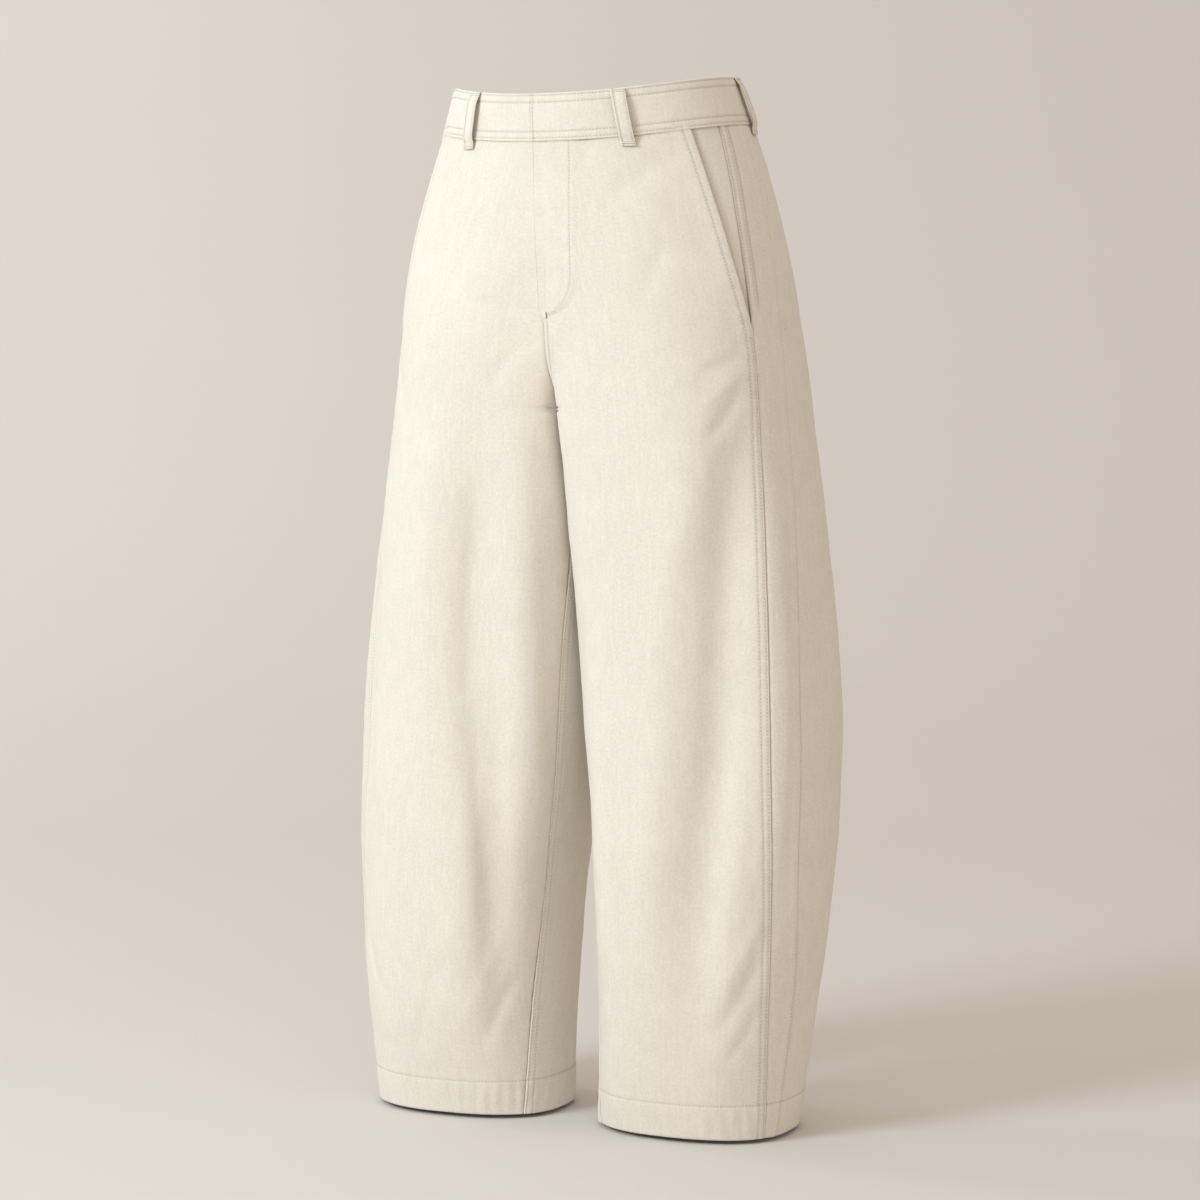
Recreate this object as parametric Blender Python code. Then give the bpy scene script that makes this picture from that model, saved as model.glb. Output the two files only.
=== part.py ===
"""Barrel leg trousers in ecru cotton twill, filled out as if worn, with nobody inside.

Metres, +Z up, +X towards the wearer's left, -Y to the front. The origin is the middle of
the waist, level with the seam under the waistband. Sizes are in millimetres, and MM turns
them into metres where the points go into a mesh. An angle on the surface is in degrees
round one leg, seen from above: 0 faces the other leg, 90 the front, 180 outwards and 270
the back. Everything is worked out for the wearer's left, side 1, and side -1 mirrors it.
"""

import bpy
import numpy as np

MM = 0.001

# One leg's cross-section at each height. reach_in is measured towards the other leg.
# Roundness is a superellipse's power: 2 is an ellipse, and more is squarer.
SECTION_COLUMNS = ("height", "centre_x", "reach_in", "reach_out", "centre_y", "reach_front",
                   "reach_back", "roundness")
LEG_SECTIONS = (
    (45, 0, 139, 139, 0, 115, 102, 2.1),
    (0, 0, 155, 155, 1, 113, 113, 2.1),
    (-90, 22, 168, 162, 2, 114, 128, 2.1),
    (-190, 60, 141, 139, 6, 115, 132, 2.2),
    (-290, 82, 119, 128, 9, 116, 131, 2.3),
    (-400, 94, 109, 133, 10, 116, 121, 2.3),
    (-560, 96, 91, 149, 10, 118, 104, 2.3),
    (-700, 95, 71, 149, 2, 118, 87, 2.3),
    (-830, 112, 83, 118, -12, 103, 91, 2.3),
    (-940, 125, 99, 91, -26, 72, 94, 2.3),
)

# Seams, as pairs of height and angle down the leg.
SIDE_SEAM = ((45, 163), (0, 162), (-100, 157), (-270, 154), (-430, 145), (-560, 141.5),
             (-730, 146), (-830, 150), (-940, 155))
REAR_SEAM = ((45, 180), (0, 179), (-150, 175), (-300, 172), (-380, 167), (-500, 159),
             (-620, 157.5), (-700, 159), (-790, 165.5), (-940, 168))
INSEAM = ((-262, 14), (-400, 26), (-482, 29), (-648, 23), (-720, 21), (-838, 26), (-940, 35))
INNER_STRIP = ((0, 80), (-90, 93), (-190, 80), (-290, 68), (-400, 59), (-560, 52), (-700, 50),
               (-940, 60))
POCKET_EDGE = ((0, 147), (-75, 148.5), (-128, 150.5), (-152, 152.2), (-184, 155))

# Where the legs part, and how the centre seam runs under to it from front and back.
CROTCH_HEIGHT = -262
FRONT_TURN = -192
BACK_TURN = -150
LEG_GAP = 2.0
LEG_GAP_DEPTH = 110
WALL_SOFTNESS = 7.0
PARTING_TOP = -110
PARTING_DEPTH = 70
VALLEY_SOFTNESS = 12.0
VALLEY_FROM_CENTRE = 20.0
CENTRE_PULL = 12.0

# The waist sits lower in front than at the sides.
DIP_TILT = 4.6
DIP_BOW = -11.6
DIP_LEVEL = 0.4
DIP_SPAN = 110.0
DIP_DEPTH = 160.0

# Cloth, and how far pieces are kept apart.
WALL = 1.5
HEM_WALL = 2.4
HEM_TOP = -906
SEAM_HALF = 0.15
WAIST_SEAM_HALF = 0.2

# Large soft folds: the side of the body, the fold's top and bottom height and its angle at
# each, how far the cloth stands out (in, if negative) and its half-width in degrees.
FOLD_COLUMNS = ("side", "top", "bottom", "angle_top", "angle_bottom", "depth", "half_width")
FOLDS = (
    (-1, -300, -880, 82, 48, -7.0, 13),
    (-1, -350, -900, 122, 118, 3.0, 16),
    (-1, -300, -850, 268, 248, -6.0, 13),
    (1, -250, -900, 140, 100, -7.0, 12),
    (1, -330, -900, 66, 62, 3.0, 14),
    (1, -330, -880, 245, 262, -6.0, 12),
)

# Waistband: two layers, a little proud of the fronts and backs. The left one laps over
# the right one in front, and they are joined at the middle of the back.
BACK_MIDDLE = 270.0
BAND_HEIGHTS = (WAIST_SEAM_HALF, 12, 33, 45)
BAND_WALL = 2.4
BAND_PROUD = 0.8
BAND_LAP = 8.0
BAND_UNDERLAP = 30.0
BAND_STEP = 2.8
BAND_STEP_FROM = 50.0
BAND_STEP_REACH = 20.0

# Fly: a strip on the fronts from its folded edge to the curve of its stitching.
FLY_FOLD_TOP = 7.0
FLY_FOLD_BOTTOM = 3.5
FLY_WIDTH = 30.0
FLY_END_WIDTH = 0.5
FLY_CURVE_TOP = -136
FLY_BOTTOM = -176
FLY_COLUMNS = 9
FLY_WALL = 1.0
FLY_LIFT = 0.5

# Slanted side pocket: the front's edge stands off the facing that shows behind it.
POCKET_BOTTOM = -184
POCKET_LIFT = 1.0
POCKET_LIFT_REACH = 30.0
POCKET_LIFT_FADE = 30.0
FACING_SINK = 1.9
FACING_RISE = 12.0
FACING_UNDERLAP = 8.0
FACING_BOTTOM = -192
FACING_STEPS = (6,)
UNDERLAP_STEPS = 9

# Belt loops: each one's angle round the waist, and its path as pairs of height and how
# far its inner face stands off the cloth below.
LOOP_PLACES = (("front", 121.0), ("side", 189.0))
LOOP_WIDTH = 14.0
LOOP_WALL = 1.6
LOOP_PATH = ((44.4, 1.2), (41.5, 1.5), (38, 3.8), (33, 6.0), (24, 6.4), (12, 6.4), (5, 5.9),
             (0, 3.8), (-4, 1.3), (-9, 0.5))

# How finely the surface is cut up. Steps are counted from a panel's first edge to its
# last, with a break at the strip beside the centre seam and the inseam, under the fly.
DENSE_STEPS = 361
SMALL_TURN = 0.25
SMALL_DROP = 1.0
FRONT_STEPS = (4, 12)
SIDE_STEPS = (2,)
BACK_STEPS = (12, 4)
BAND_COLUMNS = 25
HEIGHTS = (-WAIST_SEAM_HALF, -32, -64, -96, -120, -136, -150, -162, -170, -176, -184, -192,
           -206, -222, -238, -250, -257, -262, -280, -310, -350, -400, -460, -520, -580,
           -640, -700, -760, -820, -870, -904, -908, -940)

ECRU = (0.80, 0.73, 0.62, 1.0)
ECRU_LIGHT = (0.84, 0.77, 0.66, 1.0)
ECRU_SHADE = (0.72, 0.65, 0.54, 1.0)
CLOTH_ROUGHNESS = 0.85


def clear_scene():
    for thing in list(bpy.data.objects):
        bpy.data.objects.remove(thing)


def cloth(name, colour):
    material = bpy.data.materials.new(name)
    material.use_nodes = True
    shader = material.node_tree.nodes["Principled BSDF"]
    shader.inputs["Base Color"].default_value = colour
    shader.inputs["Roughness"].default_value = CLOTH_ROUGHNESS
    shader.inputs["Metallic"].default_value = 0.0
    return material


def ease(t):
    """0 to 1 with soft ends."""
    t = np.clip(t, 0.0, 1.0)
    return t * t * (3 - 2 * t)


def smooth_curve(x, pairs):
    """The value at x of a smooth curve through pairs of x and y."""
    xs, ys = np.array(sorted(pairs), float).T
    slopes = np.gradient(ys, xs)
    x = np.clip(np.asarray(x, float), xs[0], xs[-1])
    i = np.clip(np.searchsorted(xs, x) - 1, 0, len(xs) - 2)
    step = xs[i + 1] - xs[i]
    t = (x - xs[i]) / step
    low = ys[i] * (1 + 2 * t) * (1 - t) ** 2 + slopes[i] * step * t * (1 - t) ** 2
    high = ys[i + 1] * t * t * (3 - 2 * t) + slopes[i + 1] * step * t * t * (t - 1)
    return low + high


def section(height):
    """The leg's section at a height, as values by column name."""
    columns = list(zip(*LEG_SECTIONS))
    return {
        name: float(smooth_curve(height, zip(columns[0], column)))
        for name, column in zip(SECTION_COLUMNS[1:], columns[1:])
    }


def on_ring(s, degrees):
    """x and y on a section's whole ring."""
    cosine = np.cos(np.radians(degrees))
    sine = np.sin(np.radians(degrees))
    power = 2 / s["roundness"]
    reach_x = np.where(cosine > 0, s["reach_in"], s["reach_out"])
    reach_y = np.where(sine > 0, s["reach_front"], s["reach_back"])
    x = s["centre_x"] - reach_x * np.sign(cosine) * abs(cosine) ** power
    y = s["centre_y"] - reach_y * np.sign(sine) * abs(sine) ** power
    return x, y


def dipped(height, y):
    """The height of a level row of cloth once the waist has dipped in front."""
    fade = ease((height + DIP_DEPTH) / DIP_DEPTH)
    forward = y / DIP_SPAN
    return height + fade * (DIP_TILT * forward + DIP_BOW * (forward**2 - DIP_LEVEL))


def moved_out(s, degrees, distance):
    """x and y on a section's ring, moved outwards in its plane."""
    x, y = on_ring(s, degrees)
    x_before, y_before = on_ring(s, degrees - SMALL_TURN)
    x_after, y_after = on_ring(s, degrees + SMALL_TURN)
    run_x, run_y = x_after - x_before, y_after - y_before
    run = np.hypot(run_x, run_y)
    return x + distance * run_y / run, y - distance * run_x / run


def fold_distance(side, height, degrees):
    total = np.zeros_like(degrees)
    for row in FOLDS:
        fold = dict(zip(FOLD_COLUMNS, row))
        down = (fold["top"] - height) / (fold["top"] - fold["bottom"])
        if fold["side"] != side or not 0 < down < 1:
            continue
        middle = fold["angle_top"] + (fold["angle_bottom"] - fold["angle_top"]) * down
        across = (degrees - middle) / fold["half_width"]
        total += fold["depth"] * np.sin(np.pi * down) * np.exp(-(across**2))
    return total


def valley(s):
    """How far from the middle plane the rounding of the centre seam's valley starts."""
    return VALLEY_SOFTNESS * float(ease(s["centre_x"] / VALLEY_FROM_CENTRE))


def leg_row(side, height, degrees):
    """The cloth's outer face along part of one row: an array of x, y and z."""
    s = section(height)
    x, y = moved_out(s, degrees, fold_distance(side, height, degrees))
    rounded = np.sqrt(np.maximum(x * x - valley(s) ** 2, 0))
    gap = SEAM_HALF + (LEG_GAP - SEAM_HALF) * ease((FRONT_TURN - height) / LEG_GAP_DEPTH)
    past = x - gap
    pressed = gap + 0.5 * (past + np.sqrt(past * past + WALL_SOFTNESS**2))
    parting = ease((PARTING_TOP - height) / PARTING_DEPTH)
    x = rounded * (1 - parting) + pressed * parting
    return np.stack([x, y, dipped(height, y)], -1)


def outward_at(side, height, degrees):
    """Unit vectors out of the cloth at points of one row."""
    along = leg_row(side, height, degrees + SMALL_TURN) - leg_row(side, height, degrees - SMALL_TURN)
    down = leg_row(side, height - SMALL_DROP, degrees) - leg_row(side, height + SMALL_DROP, degrees)
    normal = np.cross(down, along)
    return normal / np.linalg.norm(normal, axis=-1, keepdims=True)


def valley_angle(s):
    """The angle in front at which the ring reaches the centre seam."""
    inwards = max(s["centre_x"] - valley(s), 0) / s["reach_in"]
    return float(np.degrees(np.arccos(inwards ** (s["roundness"] / 2))))


def turn_curve(height, turn, y_at_turn, y_at_crotch):
    """y of the centre seam where it curves under between the legs."""
    down = (turn - height) / (turn - CROTCH_HEIGHT)
    return y_at_crotch + (y_at_turn - y_at_crotch) * float(np.sqrt(max(1 - down**2, 0)))


def ring_y(height, degrees):
    return float(on_ring(section(height), np.array([degrees]))[1][0])


def front_edge(height):
    """The angle of a front's inner edge: the centre seam, then the inseam."""
    if height < CROTCH_HEIGHT:
        return float(smooth_curve(height, INSEAM))
    s = section(height)
    if height >= FRONT_TURN:
        return valley_angle(s)
    crotch_y = ring_y(CROTCH_HEIGHT, INSEAM[0][1])
    turn_y = ring_y(FRONT_TURN, valley_angle(section(FRONT_TURN)))
    y = turn_curve(height, FRONT_TURN, turn_y, crotch_y)
    ahead = (s["centre_y"] - y) / s["reach_front"]
    return float(np.degrees(np.arcsin(ahead ** (s["roundness"] / 2))))


def back_edge(height):
    """The angle of a back's inner edge, which passes 360 where it comes under to the front."""
    if height < CROTCH_HEIGHT:
        return 360 + float(smooth_curve(height, INSEAM))
    s = section(height)
    if height >= BACK_TURN:
        return 360 - valley_angle(s)
    crotch_y = ring_y(CROTCH_HEIGHT, INSEAM[0][1])
    turn_y = ring_y(BACK_TURN, 360 - valley_angle(section(BACK_TURN)))
    y = turn_curve(height, BACK_TURN, turn_y, crotch_y)
    behind = y - s["centre_y"]
    reach = s["reach_back"] if behind > 0 else s["reach_front"]
    turned = float(np.degrees(np.arcsin((abs(behind) / reach) ** (s["roundness"] / 2))))
    return 360 - turned if behind > 0 else 360 + turned


def side_edge(height):
    return float(smooth_curve(height, SIDE_SEAM))


def inner_strip(height):
    return float(smooth_curve(height, INNER_STRIP))


def rear_edge(height):
    return float(smooth_curve(height, REAR_SEAM))


def pocket_edge(height):
    return float(smooth_curve(height, POCKET_EDGE))


def front_outer_edge(height):
    return pocket_edge(height) if height > POCKET_BOTTOM else side_edge(height)


def lengths_along(row):
    steps = np.linalg.norm(np.diff(row, axis=0), axis=1)
    return np.concatenate([[0.0], np.cumsum(steps)])


def picked(wanted, along, row):
    """The points at the wanted distances along a row."""
    return np.stack([np.interp(wanted, along, row[:, axis]) for axis in range(3)], -1)


def panel_row(side, height, knots, counts, seams):
    """Points of one row of a panel, and the way out at each.

    knots are the angles of its two ends and of any break between them, and counts are how
    many even steps lie between each two. seams says, for each end, whether it is on the
    centre seam ("centre"), which is brought to the middle plane.
    """
    angles = np.linspace(knots[0], knots[-1], DENSE_STEPS)
    row = leg_row(side, height, angles)
    along = lengths_along(row)
    insets = [SEAM_HALF, SEAM_HALF]
    for end, distance in ((0, along), (1, along[-1] - along)):
        if seams[end] != "centre" or height < CROTCH_HEIGHT:
            continue
        pull = np.exp(-((distance / CENTRE_PULL) ** 2))
        row[:, 0] -= (row[-end, 0] - SEAM_HALF) * pull
        if height > CROTCH_HEIGHT:
            insets[end] = 0.0
    along = lengths_along(row)
    breaks = np.interp(knots, angles, along)
    places = [
        np.linspace(start, end, count, endpoint=False)
        for start, end, count in zip(breaks, breaks[1:], counts)
    ]
    wanted = np.concatenate([*places, breaks[-1:]])
    wanted = np.clip(wanted, insets[0], along[-1] - insets[1])
    return picked(wanted, along, row), outward_at(side, height, np.interp(wanted, along, angles))


def level_outward(grid):
    """Level unit vectors out of the cloth at each point of a grid of rows."""
    along = np.gradient(grid, axis=1)
    normal = np.stack([along[..., 1], -along[..., 0], np.zeros(grid.shape[:2])], -1)
    return normal / np.linalg.norm(normal, axis=-1, keepdims=True)


def wall_faces(rows, columns):
    """Faces of a closed wall whose outer grid of points is followed by its inner one."""
    count = rows * columns
    outer = np.arange(count).reshape(rows, columns)
    inner = outer + count
    faces = []
    for r in range(rows - 1):
        for c in range(columns - 1):
            faces.append((outer[r, c], outer[r + 1, c], outer[r + 1, c + 1], outer[r, c + 1]))
            faces.append((inner[r, c], inner[r, c + 1], inner[r + 1, c + 1], inner[r + 1, c]))
    for r in range(rows - 1):
        faces.append((outer[r, 0], inner[r, 0], inner[r + 1, 0], outer[r + 1, 0]))
        faces.append((outer[r, -1], outer[r + 1, -1], inner[r + 1, -1], inner[r, -1]))
    for c in range(columns - 1):
        faces.append((outer[0, c], outer[0, c + 1], inner[0, c + 1], inner[0, c]))
        faces.append((outer[-1, c], inner[-1, c], inner[-1, c + 1], outer[-1, c + 1]))
    return faces


def add_wall(name, outer, inner, side, material):
    """An object from two grids of points, mirrored for side -1."""
    rows, columns = outer.shape[:2]
    points = np.concatenate([outer.reshape(-1, 3), inner.reshape(-1, 3)]) * MM
    points[:, 0] *= side
    faces = [tuple(int(i) for i in face) for face in wall_faces(rows, columns)]
    if side < 0:
        faces = [face[::-1] for face in faces]
    mesh = bpy.data.meshes.new(name)
    mesh.from_pydata([tuple(point) for point in points], [], faces)
    mesh.materials.append(material)
    mesh.shade_smooth()
    piece = bpy.data.objects.new(name, mesh)
    bpy.context.scene.collection.objects.link(piece)
    return piece


def side_name(side):
    return "left" if side > 0 else "right"


def panel_grid(side, heights, edges, counts, seams):
    """A panel's outer points in rows from the top, and the way out at each."""
    rows = [
        panel_row(side, height, [edge(height) for edge in edges], counts, seams)
        for height in heights
    ]
    return np.stack([row[0] for row in rows]), np.stack([row[1] for row in rows])


def panel_inside(grid, ways, seams):
    """The inner face of a whole panel, which is thicker at the hem."""
    walls = np.array([HEM_WALL if height < HEM_TOP else WALL for height in HEIGHTS])
    inner = grid - ways * walls[:, None, None]
    if "centre" in seams:
        inner[:, :, 0] = np.maximum(inner[:, :, 0], SEAM_HALF)
    return inner


def front_grid(side):
    edges = (front_edge, inner_strip, front_outer_edge)
    return panel_grid(side, HEIGHTS, edges, FRONT_STEPS, ("centre", ""))


def lifted_at_pocket(grid, ways):
    """The front's edge along the pocket opening, standing a little off the facing."""
    lifted = grid.copy()
    for r, height in enumerate(HEIGHTS):
        open_share = ease((height - POCKET_BOTTOM + POCKET_LIFT_FADE / 2) / POCKET_LIFT_FADE)
        along = lengths_along(grid[r])
        near = np.exp(-(((along[-1] - along) / POCKET_LIFT_REACH) ** 2))
        lifted[r] += ways[r] * (POCKET_LIFT * open_share * near)[:, None]
    return lifted


def add_front(side, material):
    grid, ways = front_grid(side)
    grid = lifted_at_pocket(grid, ways)
    inner = panel_inside(grid, ways, ("centre", ""))
    add_wall("front_" + side_name(side), grid, inner, side, material)


def add_side_panel(side, material):
    grid, ways = panel_grid(side, HEIGHTS, (side_edge, rear_edge), SIDE_STEPS, ("", ""))
    inner = panel_inside(grid, ways, ("", ""))
    add_wall("side_" + side_name(side), grid, inner, side, material)


def add_back(side, material):
    edges = (rear_edge, lambda height: 360 - inner_strip(height), back_edge)
    grid, ways = panel_grid(side, HEIGHTS, edges, BACK_STEPS, ("", "centre"))
    inner = panel_inside(grid, ways, ("", "centre"))
    add_wall("back_" + side_name(side), grid, inner, side, material)


def facing_start(height):
    return pocket_edge(height) - FACING_UNDERLAP


def add_pocket_facing(side, material):
    """The cloth behind the pocket opening: sunk under the front, level at the side seam."""
    heights = [height for height in HEIGHTS if height >= FACING_BOTTOM]
    grid, ways = panel_grid(side, heights, (facing_start, side_edge), FACING_STEPS, ("", ""))
    for r, height in enumerate(heights):
        underlap = np.linspace(facing_start(height), pocket_edge(height), UNDERLAP_STEPS)
        hidden = lengths_along(leg_row(side, height, underlap))[-1]
        past = lengths_along(grid[r]) - hidden
        sink = FACING_SINK * (1 - ease(past / FACING_RISE))
        grid[r] -= ways[r] * sink[:, None]
    add_wall("pocket_facing_" + side_name(side), grid, grid - ways * WALL, side, material)


def band_angle(height, x):
    """The angle in front at which the waist ring is x past the middle, away from its side."""
    s = section(height)
    share = (abs(x) / s["reach_in"]) ** (s["roundness"] / 2)
    return float(np.degrees(np.arccos(np.sign(x) * share)))


def add_band(side, material):
    """One half of the waistband. The left one steps out in front, over the right one."""
    rows = []
    for height in BAND_HEIGHTS:
        s = section(height)
        end = band_angle(height, BAND_LAP if side > 0 else BAND_UNDERLAP)
        angles = np.linspace(end, BACK_MIDDLE, DENSE_STEPS)
        x, y = on_ring(s, angles)
        along = lengths_along(np.stack([x, y], -1))
        step = BAND_STEP * (1 - ease((along - BAND_STEP_FROM) / BAND_STEP_REACH))
        out_x, out_y = moved_out(s, angles, BAND_PROUD + (step if side > 0 else 0))
        row = np.stack([out_x, out_y, dipped(height, y)], -1)
        along = lengths_along(row)
        rows.append(picked(np.linspace(0, along[-1] - SEAM_HALF, BAND_COLUMNS), along, row))
    grid = np.stack(rows[::-1])
    inner = grid - level_outward(grid) * BAND_WALL
    for face in (grid, inner):
        face[:, -1, 0] = SEAM_HALF
    add_wall("waistband_" + side_name(side), grid, inner, side, material)


def fly_reach(height):
    """Where the fly starts and ends on its row, measured from the centre to the left."""
    down = height / FLY_BOTTOM
    fold = -(FLY_FOLD_TOP + (FLY_FOLD_BOTTOM - FLY_FOLD_TOP) * down)
    curve = np.clip((FLY_CURVE_TOP - height) / (FLY_CURVE_TOP - FLY_BOTTOM), 0, 1)
    end = FLY_END_WIDTH + (FLY_WIDTH - FLY_END_WIDTH) * np.sqrt(1 - curve**2)
    return fold, float(end)


def add_fly(material):
    heights = [height for height in HEIGHTS if height >= FLY_BOTTOM]
    front, _ = front_grid(1)
    rows = []
    for r, height in enumerate(heights):
        along = lengths_along(front[r])
        places = np.linspace(*fly_reach(height), FLY_COLUMNS)
        row = picked(abs(places), along, front[r])
        row[:, 0] = np.where(places < 0, -row[:, 0], row[:, 0])
        rows.append(row)
    grid = np.stack(rows)
    ways = level_outward(grid)
    add_wall("fly", grid + ways * (FLY_LIFT + FLY_WALL), grid + ways * FLY_LIFT, 1, material)


def cloth_at(height, degrees):
    """A point on the waistband or panel at an angle round the waist, and the way out."""
    nearby = np.array([-SMALL_TURN, 0.0, SMALL_TURN])
    if height >= 0:
        x, y = on_ring(section(height), degrees + nearby)
    else:
        middle = back_edge(height) if degrees == BACK_MIDDLE else degrees
        row = leg_row(1, height, middle + nearby)
        x, y = row[:, 0], row[:, 1]
    way = np.array([y[2] - y[0], x[0] - x[2], 0.0])
    return np.array([x[1], y[1], dipped(height, y[1])]), way / np.linalg.norm(way)


def add_belt_loop(name, side, degrees, material):
    """A strap from the top of the waistband to just below its seam, standing off between."""
    inner_rows, outer_rows = [], []
    _, way = cloth_at(0, degrees)
    across = np.array([-way[1], way[0], 0.0])
    for height, stand_off in LOOP_PATH:
        base, _ = cloth_at(height, degrees)
        if degrees == BACK_MIDDLE:
            base[0] = 0.0
        edges = [base + across * LOOP_WIDTH * share for share in (-0.5, 0, 0.5)]
        inner_rows.append([edge + way * stand_off for edge in edges])
        outer_rows.append([edge + way * (stand_off + LOOP_WALL) for edge in edges])
    add_wall(name, np.array(outer_rows), np.array(inner_rows), side, material)


def build():
    clear_scene()
    twill = cloth("ecru_twill", ECRU)
    trim = cloth("ecru_twill_trim", ECRU_LIGHT)
    shaded = cloth("ecru_twill_facing", ECRU_SHADE)
    for side in (1, -1):
        add_front(side, twill)
        add_side_panel(side, twill)
        add_back(side, twill)
        add_pocket_facing(side, shaded)
        add_band(side, trim)
        for place, degrees in LOOP_PLACES:
            add_belt_loop("belt_loop_" + place + "_" + side_name(side), side, degrees, trim)
    add_belt_loop("belt_loop_back", 1, BACK_MIDDLE, trim)
    add_fly(trim)


build()
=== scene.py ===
"""Barrel leg trousers in ecru cotton twill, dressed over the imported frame.

Sizes are in millimetres, and MM turns them into metres where points go into a mesh. An
angle on the cloth is in degrees round one leg, seen from above: 0 faces the other leg, 90
the front, 180 outwards and 270 the back. Everything is worked out for the wearer's left,
side 1, and side -1 mirrors it. The cloth's large shape comes from the same tables as the
solids, and the small relief, stitches and cloth patterns are added here.
"""

from functools import lru_cache

import bpy
import numpy as np
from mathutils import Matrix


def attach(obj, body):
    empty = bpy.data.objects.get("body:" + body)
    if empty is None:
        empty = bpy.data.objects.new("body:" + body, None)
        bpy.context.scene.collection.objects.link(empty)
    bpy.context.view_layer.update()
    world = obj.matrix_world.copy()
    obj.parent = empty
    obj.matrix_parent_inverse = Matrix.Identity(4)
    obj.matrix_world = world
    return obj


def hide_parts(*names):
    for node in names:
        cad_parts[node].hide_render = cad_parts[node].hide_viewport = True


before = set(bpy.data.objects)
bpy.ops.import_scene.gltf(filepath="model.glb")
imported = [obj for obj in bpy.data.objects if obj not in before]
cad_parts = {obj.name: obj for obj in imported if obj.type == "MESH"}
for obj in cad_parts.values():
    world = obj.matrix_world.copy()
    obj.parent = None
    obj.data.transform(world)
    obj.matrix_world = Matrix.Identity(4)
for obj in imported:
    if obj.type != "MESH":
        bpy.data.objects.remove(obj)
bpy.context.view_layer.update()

MM = 0.001

# The solids' own tables. Roundness is a superellipse's power.
SECTION_COLUMNS = ("height", "centre_x", "reach_in", "reach_out", "centre_y", "reach_front",
                   "reach_back", "roundness")
LEG_SECTIONS = (
    (45, 0, 139, 139, 0, 115, 102, 2.1),
    (0, 0, 155, 155, 1, 113, 113, 2.1),
    (-90, 22, 168, 162, 2, 114, 128, 2.1),
    (-190, 60, 141, 139, 6, 115, 132, 2.2),
    (-290, 82, 119, 128, 9, 116, 131, 2.3),
    (-400, 94, 109, 133, 10, 116, 121, 2.3),
    (-560, 96, 91, 149, 10, 118, 104, 2.3),
    (-700, 95, 71, 149, 2, 118, 87, 2.3),
    (-830, 112, 83, 118, -12, 103, 91, 2.3),
    (-940, 125, 99, 91, -26, 72, 94, 2.3),
)
SIDE_SEAM = ((45, 163), (0, 162), (-100, 157), (-270, 154), (-430, 145), (-560, 141.5),
             (-730, 146), (-830, 150), (-940, 155))
REAR_SEAM = ((45, 180), (0, 179), (-150, 175), (-300, 172), (-380, 167), (-500, 159),
             (-620, 157.5), (-700, 159), (-790, 165.5), (-940, 168))
INSEAM = ((-262, 14), (-400, 26), (-482, 29), (-648, 23), (-720, 21), (-838, 26), (-940, 35))
POCKET_EDGE = ((0, 147), (-75, 148.5), (-128, 150.5), (-152, 152.2), (-184, 155))
CROTCH_HEIGHT = -262
FRONT_TURN = -192
BACK_TURN = -150
LEG_GAP = 2.0
LEG_GAP_DEPTH = 110
WALL_SOFTNESS = 7.0
PARTING_TOP = -110
PARTING_DEPTH = 70
VALLEY_SOFTNESS = 12.0
VALLEY_FROM_CENTRE = 20.0
CENTRE_PULL = 12.0
DIP_TILT = 4.6
DIP_BOW = -11.6
DIP_LEVEL = 0.4
DIP_SPAN = 110.0
DIP_DEPTH = 160.0
SLIP = 9.0
SLIP_FROM_Y = -75.0
SLIP_REACH_Y = 45.0
SLIP_FROM_X = 10.0
SLIP_REACH_X = 90.0
SEAM_HALF = 0.15
FOLD_COLUMNS = ("side", "top", "bottom", "angle_top", "angle_bottom", "depth", "half_width")
FOLDS = (
    (-1, -300, -880, 82, 48, -7.0, 13),
    (-1, -350, -900, 122, 118, 3.0, 16),
    (-1, -300, -850, 268, 248, -6.0, 13),
    (1, -250, -900, 140, 100, -7.0, 12),
    (1, -330, -900, 66, 62, 3.0, 14),
    (1, -330, -880, 245, 262, -6.0, 12),
)
SMALL_TURN = 0.25
SMALL_DROP = 1.0

# How finely the cloth is cut up, and how far a panel reaches under its neighbour.
DENSE_STEPS = 721
ROW_STEP = 3.5
FINE_ROW_STEP = 1.1
EDGE_MARGIN = 12.0
CROTCH_PULL = 3.0
CROTCH_PULL_RISE = 70.0
CROTCH_PULL_FADE = 24.0
CROTCH_CALM_REACH = 30.0
PUCKER_FROM = 20.0
PUCKER_RISE = 70.0
UNDERLAP = 6.0
NEAR_EDGE = (0.0, 0.25, 0.7, 1.3, 2.0, 2.7, 4.0, 6.0, 7.4, 8.2, 9.0, 10.5, 12.5, 15.0)
NARROWEST_MIDDLE = 1.0
UNDER_EDGE = (-6.0, -3.5, -1.5, 0.0, 1.0, 2.2, 4.0, 7.0, 11.0, 15.0)

# Cloth thickness, the hem, and the relief at seams.
WALL = 1.3
HEM_WALL = 2.3
HEM_HEIGHT = 33.0
FLOOR_HEIGHT = -940.0
HEM_LINE = FLOOR_HEIGHT + HEM_HEIGHT
HEM_RAISE = 0.45
LAP_RAISE = 0.8
LAP_WIDTH = 9.0
LAP_FADE = 9.0
UNDER_SINK = 0.8
EDGE_ROUND = 0.8
EDGE_DROP = 0.7
STITCH_CHANNEL = 0.4
CHANNEL_HALF = 0.8
# Painted shade along stitch rows and seam lines: its strength and half-widths.
ROW_PAINTED_SHADE = 0.4
ROW_PAINTED_SHADE_HALF = 0.62
LINE_PAINTED_SHADE_HALF = 0.85
TOP_TUCK = 6.0
TUCK_SINK = 0.5


def ease(t):
    t = np.clip(t, 0.0, 1.0)
    return t * t * (3 - 2 * t)


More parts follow.
